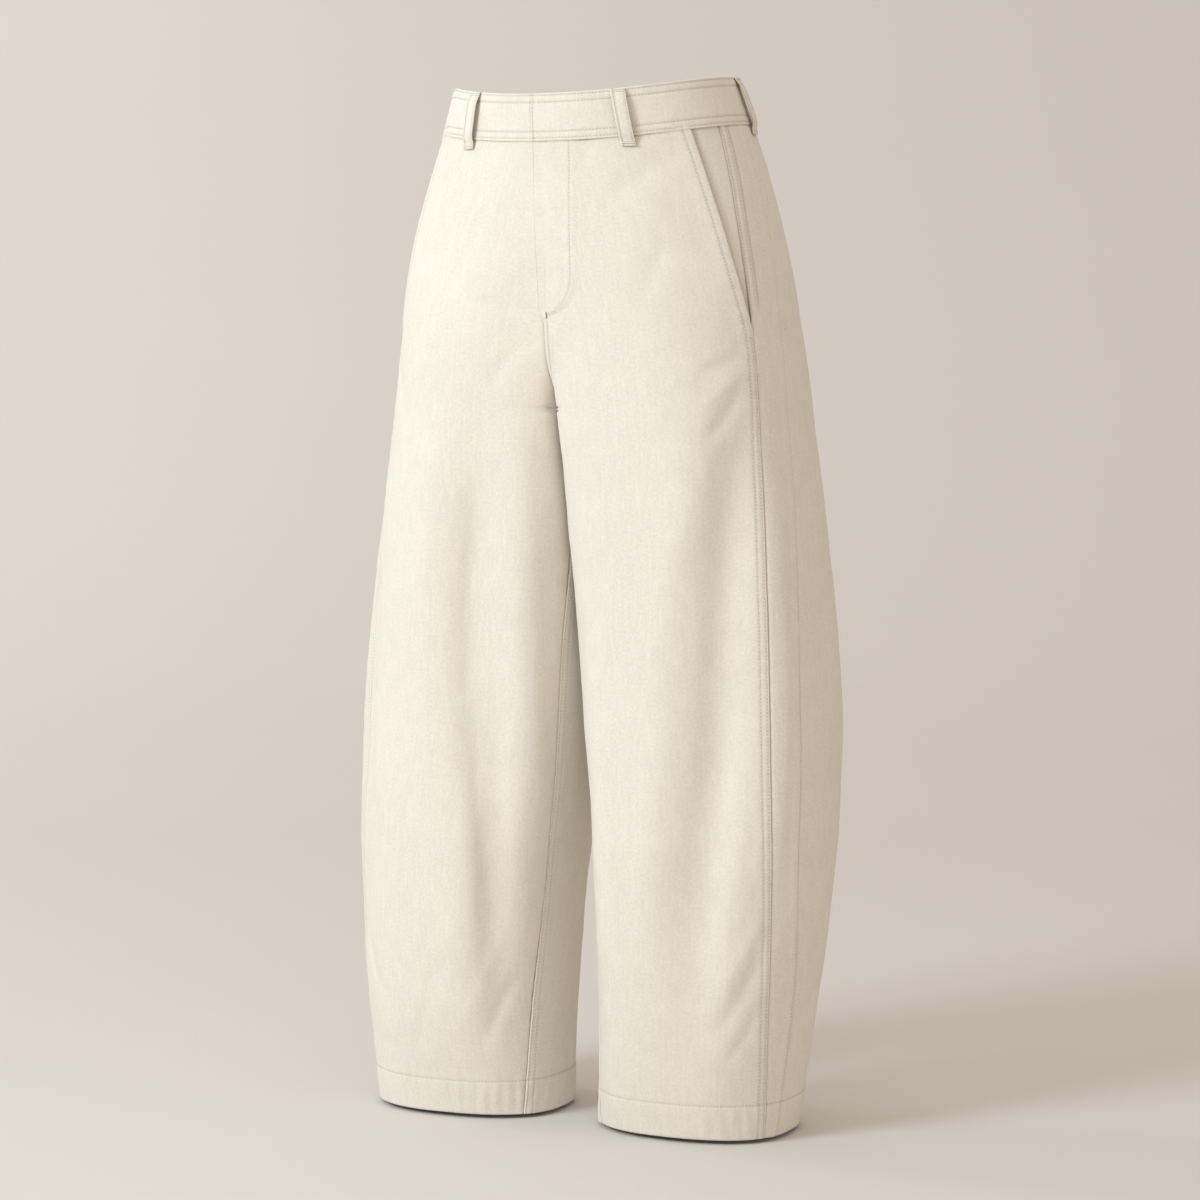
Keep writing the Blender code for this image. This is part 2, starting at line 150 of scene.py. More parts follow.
def smooth_curve(x, pairs):
    """The value at x of a smooth curve through pairs of x and y."""
    xs, ys = np.array(sorted(pairs), float).T
    slopes = np.gradient(ys, xs)
    x = np.clip(np.asarray(x, float), xs[0], xs[-1])
    i = np.clip(np.searchsorted(xs, x) - 1, 0, len(xs) - 2)
    step = xs[i + 1] - xs[i]
    t = (x - xs[i]) / step
    low = ys[i] * (1 + 2 * t) * (1 - t) ** 2 + slopes[i] * step * t * (1 - t) ** 2
    high = ys[i + 1] * t * t * (3 - 2 * t) + slopes[i + 1] * step * t * t * (t - 1)
    return low + high


@lru_cache(maxsize=None)
def section(height):
    """The leg's section at a height, as values by column name."""
    columns = list(zip(*LEG_SECTIONS))
    return {
        name: float(smooth_curve(height, zip(columns[0], column)))
        for name, column in zip(SECTION_COLUMNS[1:], columns[1:])
    }


def on_ring(s, degrees):
    cosine = np.cos(np.radians(degrees))
    sine = np.sin(np.radians(degrees))
    power = 2 / s["roundness"]
    reach_x = np.where(cosine > 0, s["reach_in"], s["reach_out"])
    reach_y = np.where(sine > 0, s["reach_front"], s["reach_back"])
    x = s["centre_x"] - reach_x * np.sign(cosine) * abs(cosine) ** power
    y = s["centre_y"] - reach_y * np.sign(sine) * abs(sine) ** power
    return x, y


def dipped(side, height, x, y):
    """The height of a level row of cloth once the waist has dipped in front.

    On the wearer's right it has also slipped a little lower behind the hip.
    """
    fade = ease((height + DIP_DEPTH) / DIP_DEPTH)
    forward = y / DIP_SPAN
    dip = DIP_TILT * forward + DIP_BOW * (forward**2 - DIP_LEVEL)
    if side < 0:
        behind = ease((y - SLIP_FROM_Y) / SLIP_REACH_Y) * ease((abs(x) - SLIP_FROM_X) / SLIP_REACH_X)
        dip = dip - SLIP * behind
    return height + fade * dip


def moved_out(s, degrees, distance):
    x, y = on_ring(s, degrees)
    x_before, y_before = on_ring(s, degrees - SMALL_TURN)
    x_after, y_after = on_ring(s, degrees + SMALL_TURN)
    run_x, run_y = x_after - x_before, y_after - y_before
    run = np.hypot(run_x, run_y)
    return x + distance * run_y / run, y - distance * run_x / run


def fold_distance(side, height, degrees):
    total = np.zeros_like(degrees)
    for row in FOLDS:
        fold = dict(zip(FOLD_COLUMNS, row))
        down = (fold["top"] - height) / (fold["top"] - fold["bottom"])
        if fold["side"] != side or not 0 < down < 1:
            continue
        middle = fold["angle_top"] + (fold["angle_bottom"] - fold["angle_top"]) * down
        across = (degrees - middle) / fold["half_width"]
        total += fold["depth"] * np.sin(np.pi * down) * np.exp(-(across**2))
    return total


def valley(s):
    return VALLEY_SOFTNESS * float(ease(s["centre_x"] / VALLEY_FROM_CENTRE))


def leg_row(side, height, degrees):
    """The solids' outer face along part of one row: an array of x, y and z."""
    s = section(height)
    x, y = moved_out(s, degrees, fold_distance(side, height, degrees))
    rounded = np.sqrt(np.maximum(x * x - valley(s) ** 2, 0))
    gap = SEAM_HALF + (LEG_GAP - SEAM_HALF) * ease((FRONT_TURN - height) / LEG_GAP_DEPTH)
    past = x - gap
    pressed = gap + 0.5 * (past + np.sqrt(past * past + WALL_SOFTNESS**2))
    parting = ease((PARTING_TOP - height) / PARTING_DEPTH)
    x = rounded * (1 - parting) + pressed * parting
    return np.stack([x, y, dipped(side, height, x, y)], -1)


def outward_at(side, height, degrees):
    """Unit vectors out of the cloth at points of one row."""
    ahead, behind = degrees + SMALL_TURN, degrees - SMALL_TURN
    along = leg_row(side, height, ahead) - leg_row(side, height, behind)
    higher, lower = height + SMALL_DROP, height - SMALL_DROP
    down = leg_row(side, lower, degrees) - leg_row(side, higher, degrees)
    normal = np.cross(down, along)
    return normal / np.linalg.norm(normal, axis=-1, keepdims=True)


def valley_angle(s):
    inwards = max(s["centre_x"] - valley(s), 0) / s["reach_in"]
    return float(np.degrees(np.arccos(inwards ** (s["roundness"] / 2))))


def turn_curve(height, turn, y_at_turn, y_at_crotch):
    down = (turn - height) / (turn - CROTCH_HEIGHT)
    return y_at_crotch + (y_at_turn - y_at_crotch) * float(np.sqrt(max(1 - down**2, 0)))


def ring_y(height, degrees):
    return float(on_ring(section(height), np.array([degrees]))[1][0])


def front_edge(height):
    """The angle of a front's inner edge: the centre seam, then the inseam."""
    if height < CROTCH_HEIGHT:
        return float(smooth_curve(height, INSEAM))
    s = section(height)
    if height >= FRONT_TURN:
        return valley_angle(s)
    crotch_y = ring_y(CROTCH_HEIGHT, INSEAM[0][1])
    turn_y = ring_y(FRONT_TURN, valley_angle(section(FRONT_TURN)))
    y = turn_curve(height, FRONT_TURN, turn_y, crotch_y)
    ahead = (s["centre_y"] - y) / s["reach_front"]
    return float(np.degrees(np.arcsin(ahead ** (s["roundness"] / 2))))


def back_edge(height):
    """The angle of a back's inner edge, which passes 360 where it comes under to the front."""
    if height < CROTCH_HEIGHT:
        return 360 + float(smooth_curve(height, INSEAM))
    s = section(height)
    if height >= BACK_TURN:
        return 360 - valley_angle(s)
    crotch_y = ring_y(CROTCH_HEIGHT, INSEAM[0][1])
    turn_y = ring_y(BACK_TURN, 360 - valley_angle(section(BACK_TURN)))
    y = turn_curve(height, BACK_TURN, turn_y, crotch_y)
    behind = y - s["centre_y"]
    reach = s["reach_back"] if behind > 0 else s["reach_front"]
    turned = float(np.degrees(np.arcsin((abs(behind) / reach) ** (s["roundness"] / 2))))
    return 360 - turned if behind > 0 else 360 + turned


def side_edge(height):
    return float(smooth_curve(height, SIDE_SEAM))


def rear_edge(height):
    return float(smooth_curve(height, REAR_SEAM))


def pocket_edge(height):
    return float(smooth_curve(height, POCKET_EDGE))


def front_outer_edge(height):
    return pocket_edge(height) if height > POCKET_BOTTOM else side_edge(height)


def lengths_along(row):
    steps = np.linalg.norm(np.diff(row, axis=0), axis=1)
    return np.concatenate([[0.0], np.cumsum(steps)])


def picked(wanted, along, row):
    return np.stack([np.interp(wanted, along, row[:, axis]) for axis in range(3)], -1)


# Fly: the left front is folded under along its edge and laps over the right one.
FLY_FOLD_TOP = 7.0
FLY_FOLD_BOTTOM = 3.5
FLY_BOTTOM = -172.0
FLY_END = -180.0
FLY_RAISE = 1.6
FLY_PUFF = 0.9
FLY_STITCH_TOP = 29.5
FLY_STITCH_KNEE = 31.5
FLY_CURVE_TOP = -132.0

# Slanted side pocket.
POCKET_BOTTOM = -184.0
POCKET_LIFT = 1.0
POCKET_GAPE = 1.6
POCKET_LIFT_REACH = 30.0
POCKET_LIFT_FADE = 30.0
FACING_SINK = 1.9
FACING_RISE = 12.0
FACING_UNDERLAP = 8.0
FACING_BOTTOM = -190.0

# Waistband.
BACK_MIDDLE = 270.0
BAND_BOTTOM = 0.2
BAND_TOP = 45.0
BAND_PROUD = 0.8
BAND_LAP = 8.0
BAND_UNDERLAP = 30.0
BAND_CLOTH_WALL = 1.3
BAND_STEP = 1.6
BAND_STEP_FROM = 40.0
BAND_STEP_REACH = 45.0

# Creases: the side, how far the cloth stands out (in, if negative), the half-width on the
# side of lower angles and on the other, and the crease's path as pairs of height and angle.
CREASE_COLUMNS = ("side", "depth", "width_before", "width_after", "path")
CREASES = (
    (1, -7.0, 24, 20, ((-215, 152), (-278, 143.5), (-353, 132.5), (-434, 124), (-509, 120),
                       (-584, 119.5), (-656, 118.5), (-713, 116.5), (-788, 114), (-854, 110.5),
                       (-930, 107))),
    (1, 3.4, 26, 20, ((-215, 132), (-278, 123), (-353, 111), (-434, 100), (-509, 97), (-584, 97),
                      (-659, 96.5), (-713, 96), (-788, 92.5), (-860, 90))),
    (1, 3.2, 22, 12, ((-278, 160), (-362, 157), (-455, 152), (-545, 149), (-638, 147),
                      (-731, 146))),
    (1, -2.0, 6, 8, ((-236, 147.5), (-266, 135.5), (-296, 121.5))),
    (1, -1.3, 5, 7, ((-206, 151.5), (-218, 136.5), (-233, 121.5))),
    (1, 1.1, 6, 5, ((-221, 150), (-242, 135.5), (-263, 121.5))),
    (1, -1.4, 13, 10, ((-14, 145), (-38, 122.5), (-68, 104))),
    (1, -1.8, 7, 8, ((-749, 145), (-806, 133), (-848, 115.5))),
    (1, 1.3, 8, 7, ((-716, 144), (-767, 133), (-815, 119.5))),
    (1, -1.2, 6, 5, ((-806, 145.5), (-842, 136.5), (-872, 123))),
    (1, -1.3, 8, 9, ((-197, 70.5), (-218, 82), (-248, 89))),
    (1, 1.2, 20, 16, ((-458, 71), (-551, 67), (-644, 71), (-716, 75.5))),
    (1, -0.9, 10, 7, ((-90, 128), (-130, 118), (-176, 104))),
    (1, -1.0, 9, 12, ((-640, 92), (-730, 84), (-820, 82))),
    (-1, -8.5, 27, 24, ((-180, 92), (-254, 88), (-329, 84.5), (-425, 83.5), (-518, 81),
                        (-596, 76), (-671, 67), (-749, 58), (-836, 51), (-880, 48))),
    (-1, -3.8, 26, 14, ((-300, 86), (-380, 84.5), (-450, 86), (-522, 86), (-580, 82),
                        (-630, 76), (-700, 65))),
    (-1, 3.2, 16, 20, ((-215, 72), (-281, 65.5), (-356, 58), (-443, 52.5), (-518, 47.5),
                       (-596, 40), (-674, 28.5), (-755, 17.5))),
    (-1, 2.6, 18, 20, ((-250, 108), (-329, 105), (-407, 102), (-482, 101.5), (-578, 99),
                       (-674, 95), (-740, 93))),
    (-1, -1.7, 7, 9, ((-188, 72.5), (-218, 80.5), (-254, 87.5))),
    (-1, -0.9, 6, 9, ((-173, 75.5), (-164, 89.5), (-158, 107))),
    (-1, -1.3, 6, 8, ((-791, 30.5), (-836, 49), (-884, 65))),
    (-1, 1.0, 8, 7, ((-758, 44.5), (-815, 63.5), (-875, 79))),
    (-1, -0.9, 7, 6, ((-779, 90.5), (-839, 94.5), (-890, 100.5))),
    (-1, -1.1, 10, 9, ((-60, 112), (-110, 108), (-170, 116))),
    (-1, -2.2, 11, 16, ((-330, 150), (-450, 139), (-580, 134), (-690, 131))),
    (-1, -1.5, 8, 7, ((-215, 150), (-250, 134), (-290, 120))),
    (-1, -1.3, 7, 7, ((-740, 147), (-800, 130), (-850, 112))),
    (1, -3.4, 20, 14, ((-300, 236), (-400, 243), (-520, 250), (-640, 255), (-760, 262))),
    (1, 2.0, 15, 16, ((-380, 268), (-500, 274), (-620, 280))),
    (1, -2.0, 9, 8, ((-205, 292), (-250, 280), (-305, 262))),
    (1, -1.5, 7, 8, ((-238, 318), (-280, 302), (-330, 290))),
    (1, -1.1, 8, 7, ((-170, 200), (-205, 218), (-235, 240))),
    (1, -1.5, 8, 8, ((-740, 205), (-800, 222), (-850, 240))),
    (1, -1.6, 12, 9, ((-480, 300), (-580, 308), (-690, 310))),
    (-1, -3.0, 15, 21, ((-280, 252), (-390, 256), (-510, 250), (-620, 243), (-730, 240))),
    (-1, 1.8, 16, 14, ((-420, 225), (-530, 220), (-640, 222))),
    (-1, -1.8, 8, 9, ((-200, 298), (-245, 284), (-290, 270))),
    (-1, -1.6, 7, 8, ((-245, 322), (-292, 305), (-345, 296))),
    (-1, -1.2, 8, 9, ((-150, 205), (-190, 222), (-225, 246))),
    (-1, -1.5, 9, 8, ((-760, 255), (-815, 240), (-862, 222))),
    (-1, -1.3, 10, 12, ((-560, 290), (-660, 298), (-760, 300))),
)


@lru_cache(maxsize=None)
def whole_row(side, height):
    """Angles round a whole leg at a height, and the distance of each from the side seam."""
    angles = np.linspace(front_edge(height) - EDGE_MARGIN, back_edge(height) + EDGE_MARGIN, DENSE_STEPS)
    along = lengths_along(leg_row(side, height, angles))
    return angles, along - np.interp(side_edge(height), angles, along)


def from_side_seam(side, height, degrees):
    angles, along = whole_row(side, height)
    return np.interp(degrees, angles, along)


def crease_relief(side, across, heights):
    """How far the creases move cloth out, on a grid of distances from the side seam."""
    total = np.zeros_like(across)
    for row in CREASES:
        crease = dict(zip(CREASE_COLUMNS, row))
        if crease["side"] not in (side, 0):
            continue
        path = np.array(crease["path"], float)
        knots = np.arange(len(path))
        fine = np.linspace(0, len(path) - 1, 6 * (len(path) - 1) + 1)
        path = np.stack([smooth_curve(fine, zip(knots, column)) for column in path.T], -1)
        line = np.array([[from_side_seam(side, h, a), h] for h, a in path])
        steps = np.linalg.norm(np.diff(line, axis=0), axis=1)
        run = np.concatenate([[0], np.cumsum(steps)])
        nearest = np.full(across.shape, np.inf)
        signed = np.zeros_like(across)
        place = np.zeros_like(across)
        for i, step in enumerate(steps):
            way = (line[i + 1] - line[i]) / step
            dx, dy = across - line[i, 0], heights - line[i, 1]
            t = np.clip(dx * way[0] + dy * way[1], 0, step)
            off_x, off_y = dx - t * way[0], dy - t * way[1]
            distance = np.hypot(off_x, off_y)
            closer = distance < nearest
            nearest = np.where(closer, distance, nearest)
            signed = np.where(closer, off_x * -way[1] + off_y * way[0], signed)
            place = np.where(closer, (run[i] + t) / run[-1], place)
        width = np.where(signed < 0, crease["width_before"], crease["width_after"])
        taper = ease(np.minimum(place, 1 - place) / 0.3)
        total += crease["depth"] * taper * np.exp(-((nearest / width) ** 2))
    return total


def uneven(across, heights, length, seed):
    """Soft noise of about the given wavelength, between -1 and 1, the same every time."""
    total = np.zeros_like(across)
    turns = (0.0, 0.9, 1.9, 2.7, 3.6, 4.9)
    for k, turn in enumerate(turns):
        angle = turn + 0.37 * seed
        size = 2 * np.pi / (length * (0.75 + 0.13 * k))
        total += np.sin(size * (across * np.cos(angle) + heights * np.sin(angle)) + 1.7 * k + seed)
    return total / len(turns)


def channel(distance, row):
    """A stitch row's dent in the cloth."""
    return -STITCH_CHANNEL * np.exp(-(((distance - row) / CHANNEL_HALF) ** 2))


def marks(rows, lines):
    """The dents of stitch rows, and the painted shade with which rows and seam lines darken the cloth's colour.

    rows are distances from an edge, the row's own distance and its weight, and lines are
    distances from the line and its weight.
    """
    relief = sum(weight * channel(distance, row) for distance, row, weight in rows)
    painted_shade = sum(
        ROW_PAINTED_SHADE * weight * np.exp(-(((distance - row) / ROW_PAINTED_SHADE_HALF) ** 2))
        for distance, row, weight in rows
    )
    painted_shade = painted_shade + sum(
        weight * np.exp(-((distance / LINE_PAINTED_SHADE_HALF) ** 2)) for distance, weight in lines
    )
    return relief, np.clip(painted_shade, 0, 1)


def lap_over(distance, width=LAP_WIDTH, fade=LAP_FADE):
    """The edge of a panel that lies on its neighbour: raised, and rounded off."""
    raised = LAP_RAISE * (1 - ease((distance - width) / fade))
    rounding = np.clip(1 - distance / EDGE_ROUND, 0, 1) ** 2
    return raised - EDGE_DROP * rounding


def lap_under(distance):
    return -UNDER_SINK * (1 - ease((distance + 1) / 5))


def pucker(distance, along, reach, size, length, seed):
    """Small waves beside a seam, at right angles to it."""
    near = np.exp(-((distance / reach) ** 2))
    wave = np.sin(2 * np.pi * along / length + 2.1 * np.sin(along / 37.0 + seed))
    slow = 0.55 + 0.45 * np.sin(along / 61.0 + 2 * seed)
    return size * near * wave * slow


def cloth_heights(fine_top=None, fine_bottom=None):
    """The rows of a panel, from top to bottom, closer between the two heights given."""
    top = [TOP_TUCK, 3.5, 1.5, 0.4]
    body = np.arange(-2.0, HEM_LINE + 5, -ROW_STEP)
    if fine_top is not None:
        above, below = body[body > fine_top], body[body < fine_bottom]
        body = np.concatenate([above, np.arange(fine_top, fine_bottom, -FINE_ROW_STEP), below])
    at_hem = HEM_LINE + np.array([3.0, 1.5, 0.7, 0.0, -0.7, -1.5, -4.0])
    hem = np.arange(HEM_LINE - 6.5, FLOOR_HEIGHT + 4, -3.0)
    foot = FLOOR_HEIGHT + np.array([2.6, 1.4, 0.7, 0.25, 0.0])
    return np.concatenate([top, body, at_hem, hem, foot])


def row_places(width, first, last, count):
    """Distances from a panel's first edge: its near columns, even ones, and its far ones.

    On a narrow panel the near columns draw together, so that those of its two edges never cross.
    """
    room = (width / 2 - NARROWEST_MIDDLE) / max(first[-1], last[-1])
    first, last = [np.where(near > 0, near * min(room, 1), near) for near in (first, last)]
    middle = np.linspace(first[-1], width - last[-1], count + 2)[1:-1]
    return np.concatenate([first, middle, width - last[::-1]])


def panel_surface(side, heights, edges, first, last, count, seams):
    """A panel's smooth points and the way out at each, by row.

    first and last give, for a height, the distances of the near columns from each edge.
    seams says for each edge whether it is the centre seam, which lies on the middle plane
    and is passed by mirroring.
    """
    points, ways, places, across, widths = [], [], [], [], []
    for height in heights:
        height = float(height)
        start, end = edges[0](height), edges[1](height)
        centred = [name == "centre" and height >= CROTCH_HEIGHT for name in seams]
        low = start - (0 if centred[0] else EDGE_MARGIN)
        high = end + (0 if centred[1] else EDGE_MARGIN)
        angles = np.linspace(low, high, DENSE_STEPS)
        row = leg_row(side, height, angles)
        along = lengths_along(row)
        for last_end, distance in ((0, along), (1, along[-1] - along)):
            if centred[last_end]:
                reach = ease((height - CROTCH_HEIGHT) / CROTCH_PULL_RISE)
                reach = CROTCH_PULL + (CENTRE_PULL - CROTCH_PULL) * reach
                pull = np.exp(-((distance / reach) ** 2))
                row[:, 0] -= (row[-last_end, 0] - SEAM_HALF) * pull
        fallen = CROTCH_HEIGHT - height
        if 0 < fallen < CROTCH_PULL_FADE:
            edge_name = 0 if seams[0] == "centre" else 1
            edge = (start, end)[edge_name]
            distance = abs(along - np.interp(edge, angles, along))
            pull = (1 - ease(fallen / CROTCH_PULL_FADE)) * np.exp(-((distance / CROTCH_PULL) ** 2))
            if "centre" in seams:
                row[:, 0] -= (np.interp(edge, angles, row[:, 0]) - SEAM_HALF) * pull
        along = lengths_along(row)
        along -= np.interp(start, angles, along)
        width = float(np.interp(end, angles, along))
        place = row_places(width, first(height), last(height), count)
        wanted = place.copy()
        flipped = np.zeros(len(place), bool)
        if centred[0]:
            flipped |= place < 0
            wanted = abs(wanted)
        if centred[1]:
            flipped |= place > width
            wanted = width - abs(width - wanted)
        at = np.interp(wanted, along, angles)
        point = picked(wanted, along, row)
        way = outward_at(side, height, at)
        point[flipped, 0] *= -1
        way[flipped, 0] *= -1
        points.append(point)
        ways.append(way)
        places.append(place)
        across.append(from_side_seam(side, height, at))
        widths.append(width)
    return {
        "heights": np.asarray(heights, float)[:, None] * np.ones((1, len(places[0]))),
        "points": np.stack(points),
        "ways": np.stack(ways),
        "start": np.stack(places),
        "end": np.array(widths)[:, None] - np.stack(places),
        "across": np.stack(across),
    }


def hem_relief(heights):
    """The turned-up hem: a little raised, and rounded off at its bottom edge."""
    raised = HEM_RAISE * ease((HEM_LINE + 1 - heights) / 2.5)
    bottom = heights - FLOOR_HEIGHT
    rounding = np.clip(1 - bottom / 1.4, 0, 1) ** 2
    return raised - 1.0 * rounding


def body_relief(side, panel):
    """Everything that a panel's cloth does apart from its own seams."""
    across, heights = panel["across"], panel["heights"]
    total = crease_relief(side, across, heights)
    total += 0.9 * uneven(across, heights, 120, 1.0 + side) + 0.35 * uneven(across, heights, 44, 2.3)
    total += 0.09 * uneven(across, heights, 15, 4.1)
    total += hem_relief(heights)
    hem_near = np.exp(-(((heights - HEM_LINE + 16) / 16) ** 2))
    ripple = 2 * np.pi * (across + 0.2 * heights) / 14 + 2.2 * np.sin(across / 27)
    total += 0.5 * hem_near * np.sin(ripple) * (0.6 + 0.4 * np.sin(across / 53 + side))
    tucked = ease(heights / TOP_TUCK)
    return total * (1 - tucked) - TUCK_SINK * (1 + tucked) * (heights > 0)


def thickness(heights):
    return WALL + (HEM_WALL - WALL) * ease((HEM_LINE + 1 - heights) / 2.5)


def add_mesh(name, points, faces, uvs, material, side):
    """A smooth object from arrays of points (millimetres), quads and uv by point."""
    points = points.reshape(-1, 3) * MM
    points[:, 0] *= side
    faces = np.asarray(faces, np.int32)
    if side < 0:
        faces = faces[:, ::-1]
    mesh = bpy.data.meshes.new(name)
    mesh.vertices.add(len(points))
    mesh.vertices.foreach_set("co", points.astype(np.float32).ravel())
    sides = faces.shape[1]
    mesh.loops.add(faces.size)
    mesh.loops.foreach_set("vertex_index", faces.ravel())
    mesh.polygons.add(len(faces))
    mesh.polygons.foreach_set("loop_start", np.arange(0, faces.size, sides, dtype=np.int32))
    layer = mesh.uv_layers.new(name="cloth")
    layer.data.foreach_set("uv", (uvs.reshape(-1, 2)[faces.ravel()]).astype(np.float32).ravel())
    mesh.update(calc_edges=True)
    mesh.validate()
    mesh.shade_smooth()
    mesh.materials.append(material)
    thing = bpy.data.objects.new(name, mesh)
    bpy.context.scene.collection.objects.link(thing)
    return thing


def wall_faces(rows, columns):
    """Faces of a closed wall whose outer grid of points is followed by its inner one."""
    outer = np.arange(rows * columns).reshape(rows, columns)
    inner = outer + rows * columns
    a, b, c, d = outer[:-1, :-1], outer[1:, :-1], outer[1:, 1:], outer[:-1, 1:]
    faces = [np.stack([a, b, c, d], -1).reshape(-1, 4)]
    a, b, c, d = inner[:-1, :-1], inner[:-1, 1:], inner[1:, 1:], inner[1:, :-1]
    faces.append(np.stack([a, b, c, d], -1).reshape(-1, 4))
    faces.append(np.stack([outer[:-1, 0], inner[:-1, 0], inner[1:, 0], outer[1:, 0]], -1))
    faces.append(np.stack([outer[:-1, -1], outer[1:, -1], inner[1:, -1], inner[:-1, -1]], -1))
    faces.append(np.stack([outer[0, :-1], outer[0, 1:], inner[0, 1:], inner[0, :-1]], -1))
    faces.append(np.stack([outer[-1, :-1], inner[-1, :-1], inner[-1, 1:], outer[-1, 1:]], -1))
    return np.concatenate(faces)


def add_shell(name, outer, inner, across, heights, material, side, painted_shade, inner_painted_shade=0.0):
    """A closed thin wall, with painted shade from 0 to 1 at each outer point that darkens the cloth's colour
    there, and an even painted shade on its inner face.
    """
    uv = np.stack([across, heights], -1).reshape(-1, 2) * MM
    points = np.concatenate([outer.reshape(-1, 3), inner.reshape(-1, 3)])
    faces = wall_faces(*outer.shape[:2])
    thing = add_mesh(name, points, faces, np.concatenate([uv, uv]), material, side)
    layer = thing.data.attributes.new("painted_shade", "FLOAT", "POINT")
    values = np.concatenate([painted_shade.ravel(), np.full(painted_shade.size, inner_painted_shade)])
    layer.data.foreach_set("value", values.astype(np.float32))
    return thing


def side_name(side):
    return "left" if side > 0 else "right"


def fly_fold(height):
    """How far the left front's folded edge passes the middle."""
    down = np.clip(height / FLY_BOTTOM, 0, 1)
    fold = FLY_FOLD_TOP + (FLY_FOLD_BOTTOM - FLY_FOLD_TOP) * down
    return fold * (1 - ease((FLY_BOTTOM - height) / (FLY_BOTTOM - FLY_END)))


def fly_stitch(height):
    """How far the fly's curved stitching is from the middle."""
    down = np.clip(height / FLY_CURVE_TOP, 0, 1)
    straight = FLY_STITCH_TOP + (FLY_STITCH_KNEE - FLY_STITCH_TOP) * down
    curve = np.clip((FLY_CURVE_TOP - height) / (FLY_CURVE_TOP - FLY_BOTTOM), 0, 1)
    return straight * np.sqrt(1 - curve**2)


def below_crotch(height):
    return ease((CROTCH_HEIGHT + 2 - height) / 14)


def crotch_calm(height):
    """0 at the crotch, where the seam runs level, and 1 away from it, for a seam's relief."""
    return ease(abs(height - CROTCH_HEIGHT) / CROTCH_CALM_REACH)


def crotch_fade(height):
    """0 at the crotch and 1 away from it, for the cloth that passes under a seam there."""
    return ease(abs(height - CROTCH_HEIGHT) / 16)


FLY_COLUMNS = np.concatenate([NEAR_EDGE[:11], np.arange(9.8, 46, 0.85)])


def front_first(side):
    def places(height):
        if side > 0:
            under = UNDERLAP * below_crotch(height) * crotch_fade(height)
            return FLY_COLUMNS - float(fly_fold(height) + under)
        under = np.array(UNDER_EDGE)
        under = np.where(under < 0, under * float(crotch_fade(height)), under)
        near = np.concatenate([under[:4], np.arange(0.7, 8.5, 0.7), under[-2:]])
        return np.concatenate([near, np.arange(17.0, 38, 2.4)])
    return places


def over_last(height):
    return np.array(NEAR_EDGE)


def over_first(height):
    return np.array(NEAR_EDGE)


def under_first(height):
    return np.array(UNDER_EDGE)


def back_last(side):
    def places(height):
        if side > 0 or height < CROTCH_HEIGHT:
            return np.array(NEAR_EDGE)
        shift = UNDERLAP * float(crotch_fade(height))
        return np.array(NEAR_EDGE) - shift
    return places


def side_first(height):
    """The side panel's front edge: free above the pocket's end, under the front below it."""
    under = UNDERLAP * float(ease((POCKET_BOTTOM + 6 - height) / 12))
    return np.array(NEAR_EDGE) - under


def front_relief(side, panel):
    heights, start, end = panel["heights"], panel["start"], panel["end"]
    total = body_relief(side, panel)
    below, calm = below_crotch(heights), crotch_calm(heights)
    on_fly = ease((heights - FLY_END + 3) / 10)
    if side > 0:
        edge = start + fly_fold(heights)
        stitch = fly_stitch(heights)
        raised = FLY_RAISE * (1 - ease((start - stitch) / 9))
        puff = FLY_PUFF * np.exp(-(((start - stitch - 7) / 6) ** 2)) * ease((heights + 170) / 40)
        wave = pucker(start - stitch, heights, 7, 0.28, 15, 0.4)
        rounding = EDGE_DROP * np.clip(1 - edge / EDGE_ROUND, 0, 1) ** 2
        sagged = 0.5 * np.exp(-(((edge - 9) / 5) ** 2))
        fly = raised + puff + wave - rounding - sagged
        seam = lap_over(start, 5.5, 4) + pucker(start - 3, heights, 8, 0.25, 12, 1.0)
        total += on_fly * fly + calm * (1 - on_fly) * (1 - below) * seam
        rows = [(start - stitch, 0.0, on_fly), (start, 4.0, (1 - on_fly) * (1 - below))]
        lines = []
    else:
        total += calm * (1 - on_fly) * (1 - below) * lap_under(start)
        rows = []
        # Painted shadow along the left front's folded fly edge and along the centre seam, on the right front.
        lines = [(start - fly_fold(heights), 0.6 * on_fly), (start, 0.6 * (1 - on_fly) * (1 - below))]
    total += calm * below * lap_under(start)
    fallen = ease((CROTCH_HEIGHT - PUCKER_FROM - heights) / PUCKER_RISE)
    total += fallen * pucker(start, heights, 12, 0.3, 19, 0.7 * side)
    opened = ease((heights - POCKET_BOTTOM + POCKET_LIFT_FADE / 2) / POCKET_LIFT_FADE)
    down = np.clip(heights / POCKET_BOTTOM, 0, 1)
    total += POCKET_LIFT * opened * np.exp(-((end / POCKET_LIFT_REACH) ** 2))
    total += POCKET_GAPE * np.sin(np.pi * down) * np.exp(-((end / 18) ** 2))
    total += 0.6 * lap_over(end, 8.0, 13.0)
    total += pucker(end - 5, heights, 9, 0.3, 15, 1.3 + side)
    rows += [(end, 8.0, 1.0), (end, 2.0, 1 - opened)] + shared_rows(heights)
    # Painted shadow along the inseam below the crotch.
    lines += [(start, 0.8 * below)] + painted_shadow_under_band(heights)
    relief, painted_shade = marks(rows, lines)
    return total + relief, painted_shade


def shared_rows(heights):
    return [(heights, HEM_LINE, np.ones_like(heights))]


def painted_shadow_under_band(heights):
    """The painted shadow on the panels under the waistband's lower edge."""
    return [(heights + 0.4, 0.9)]


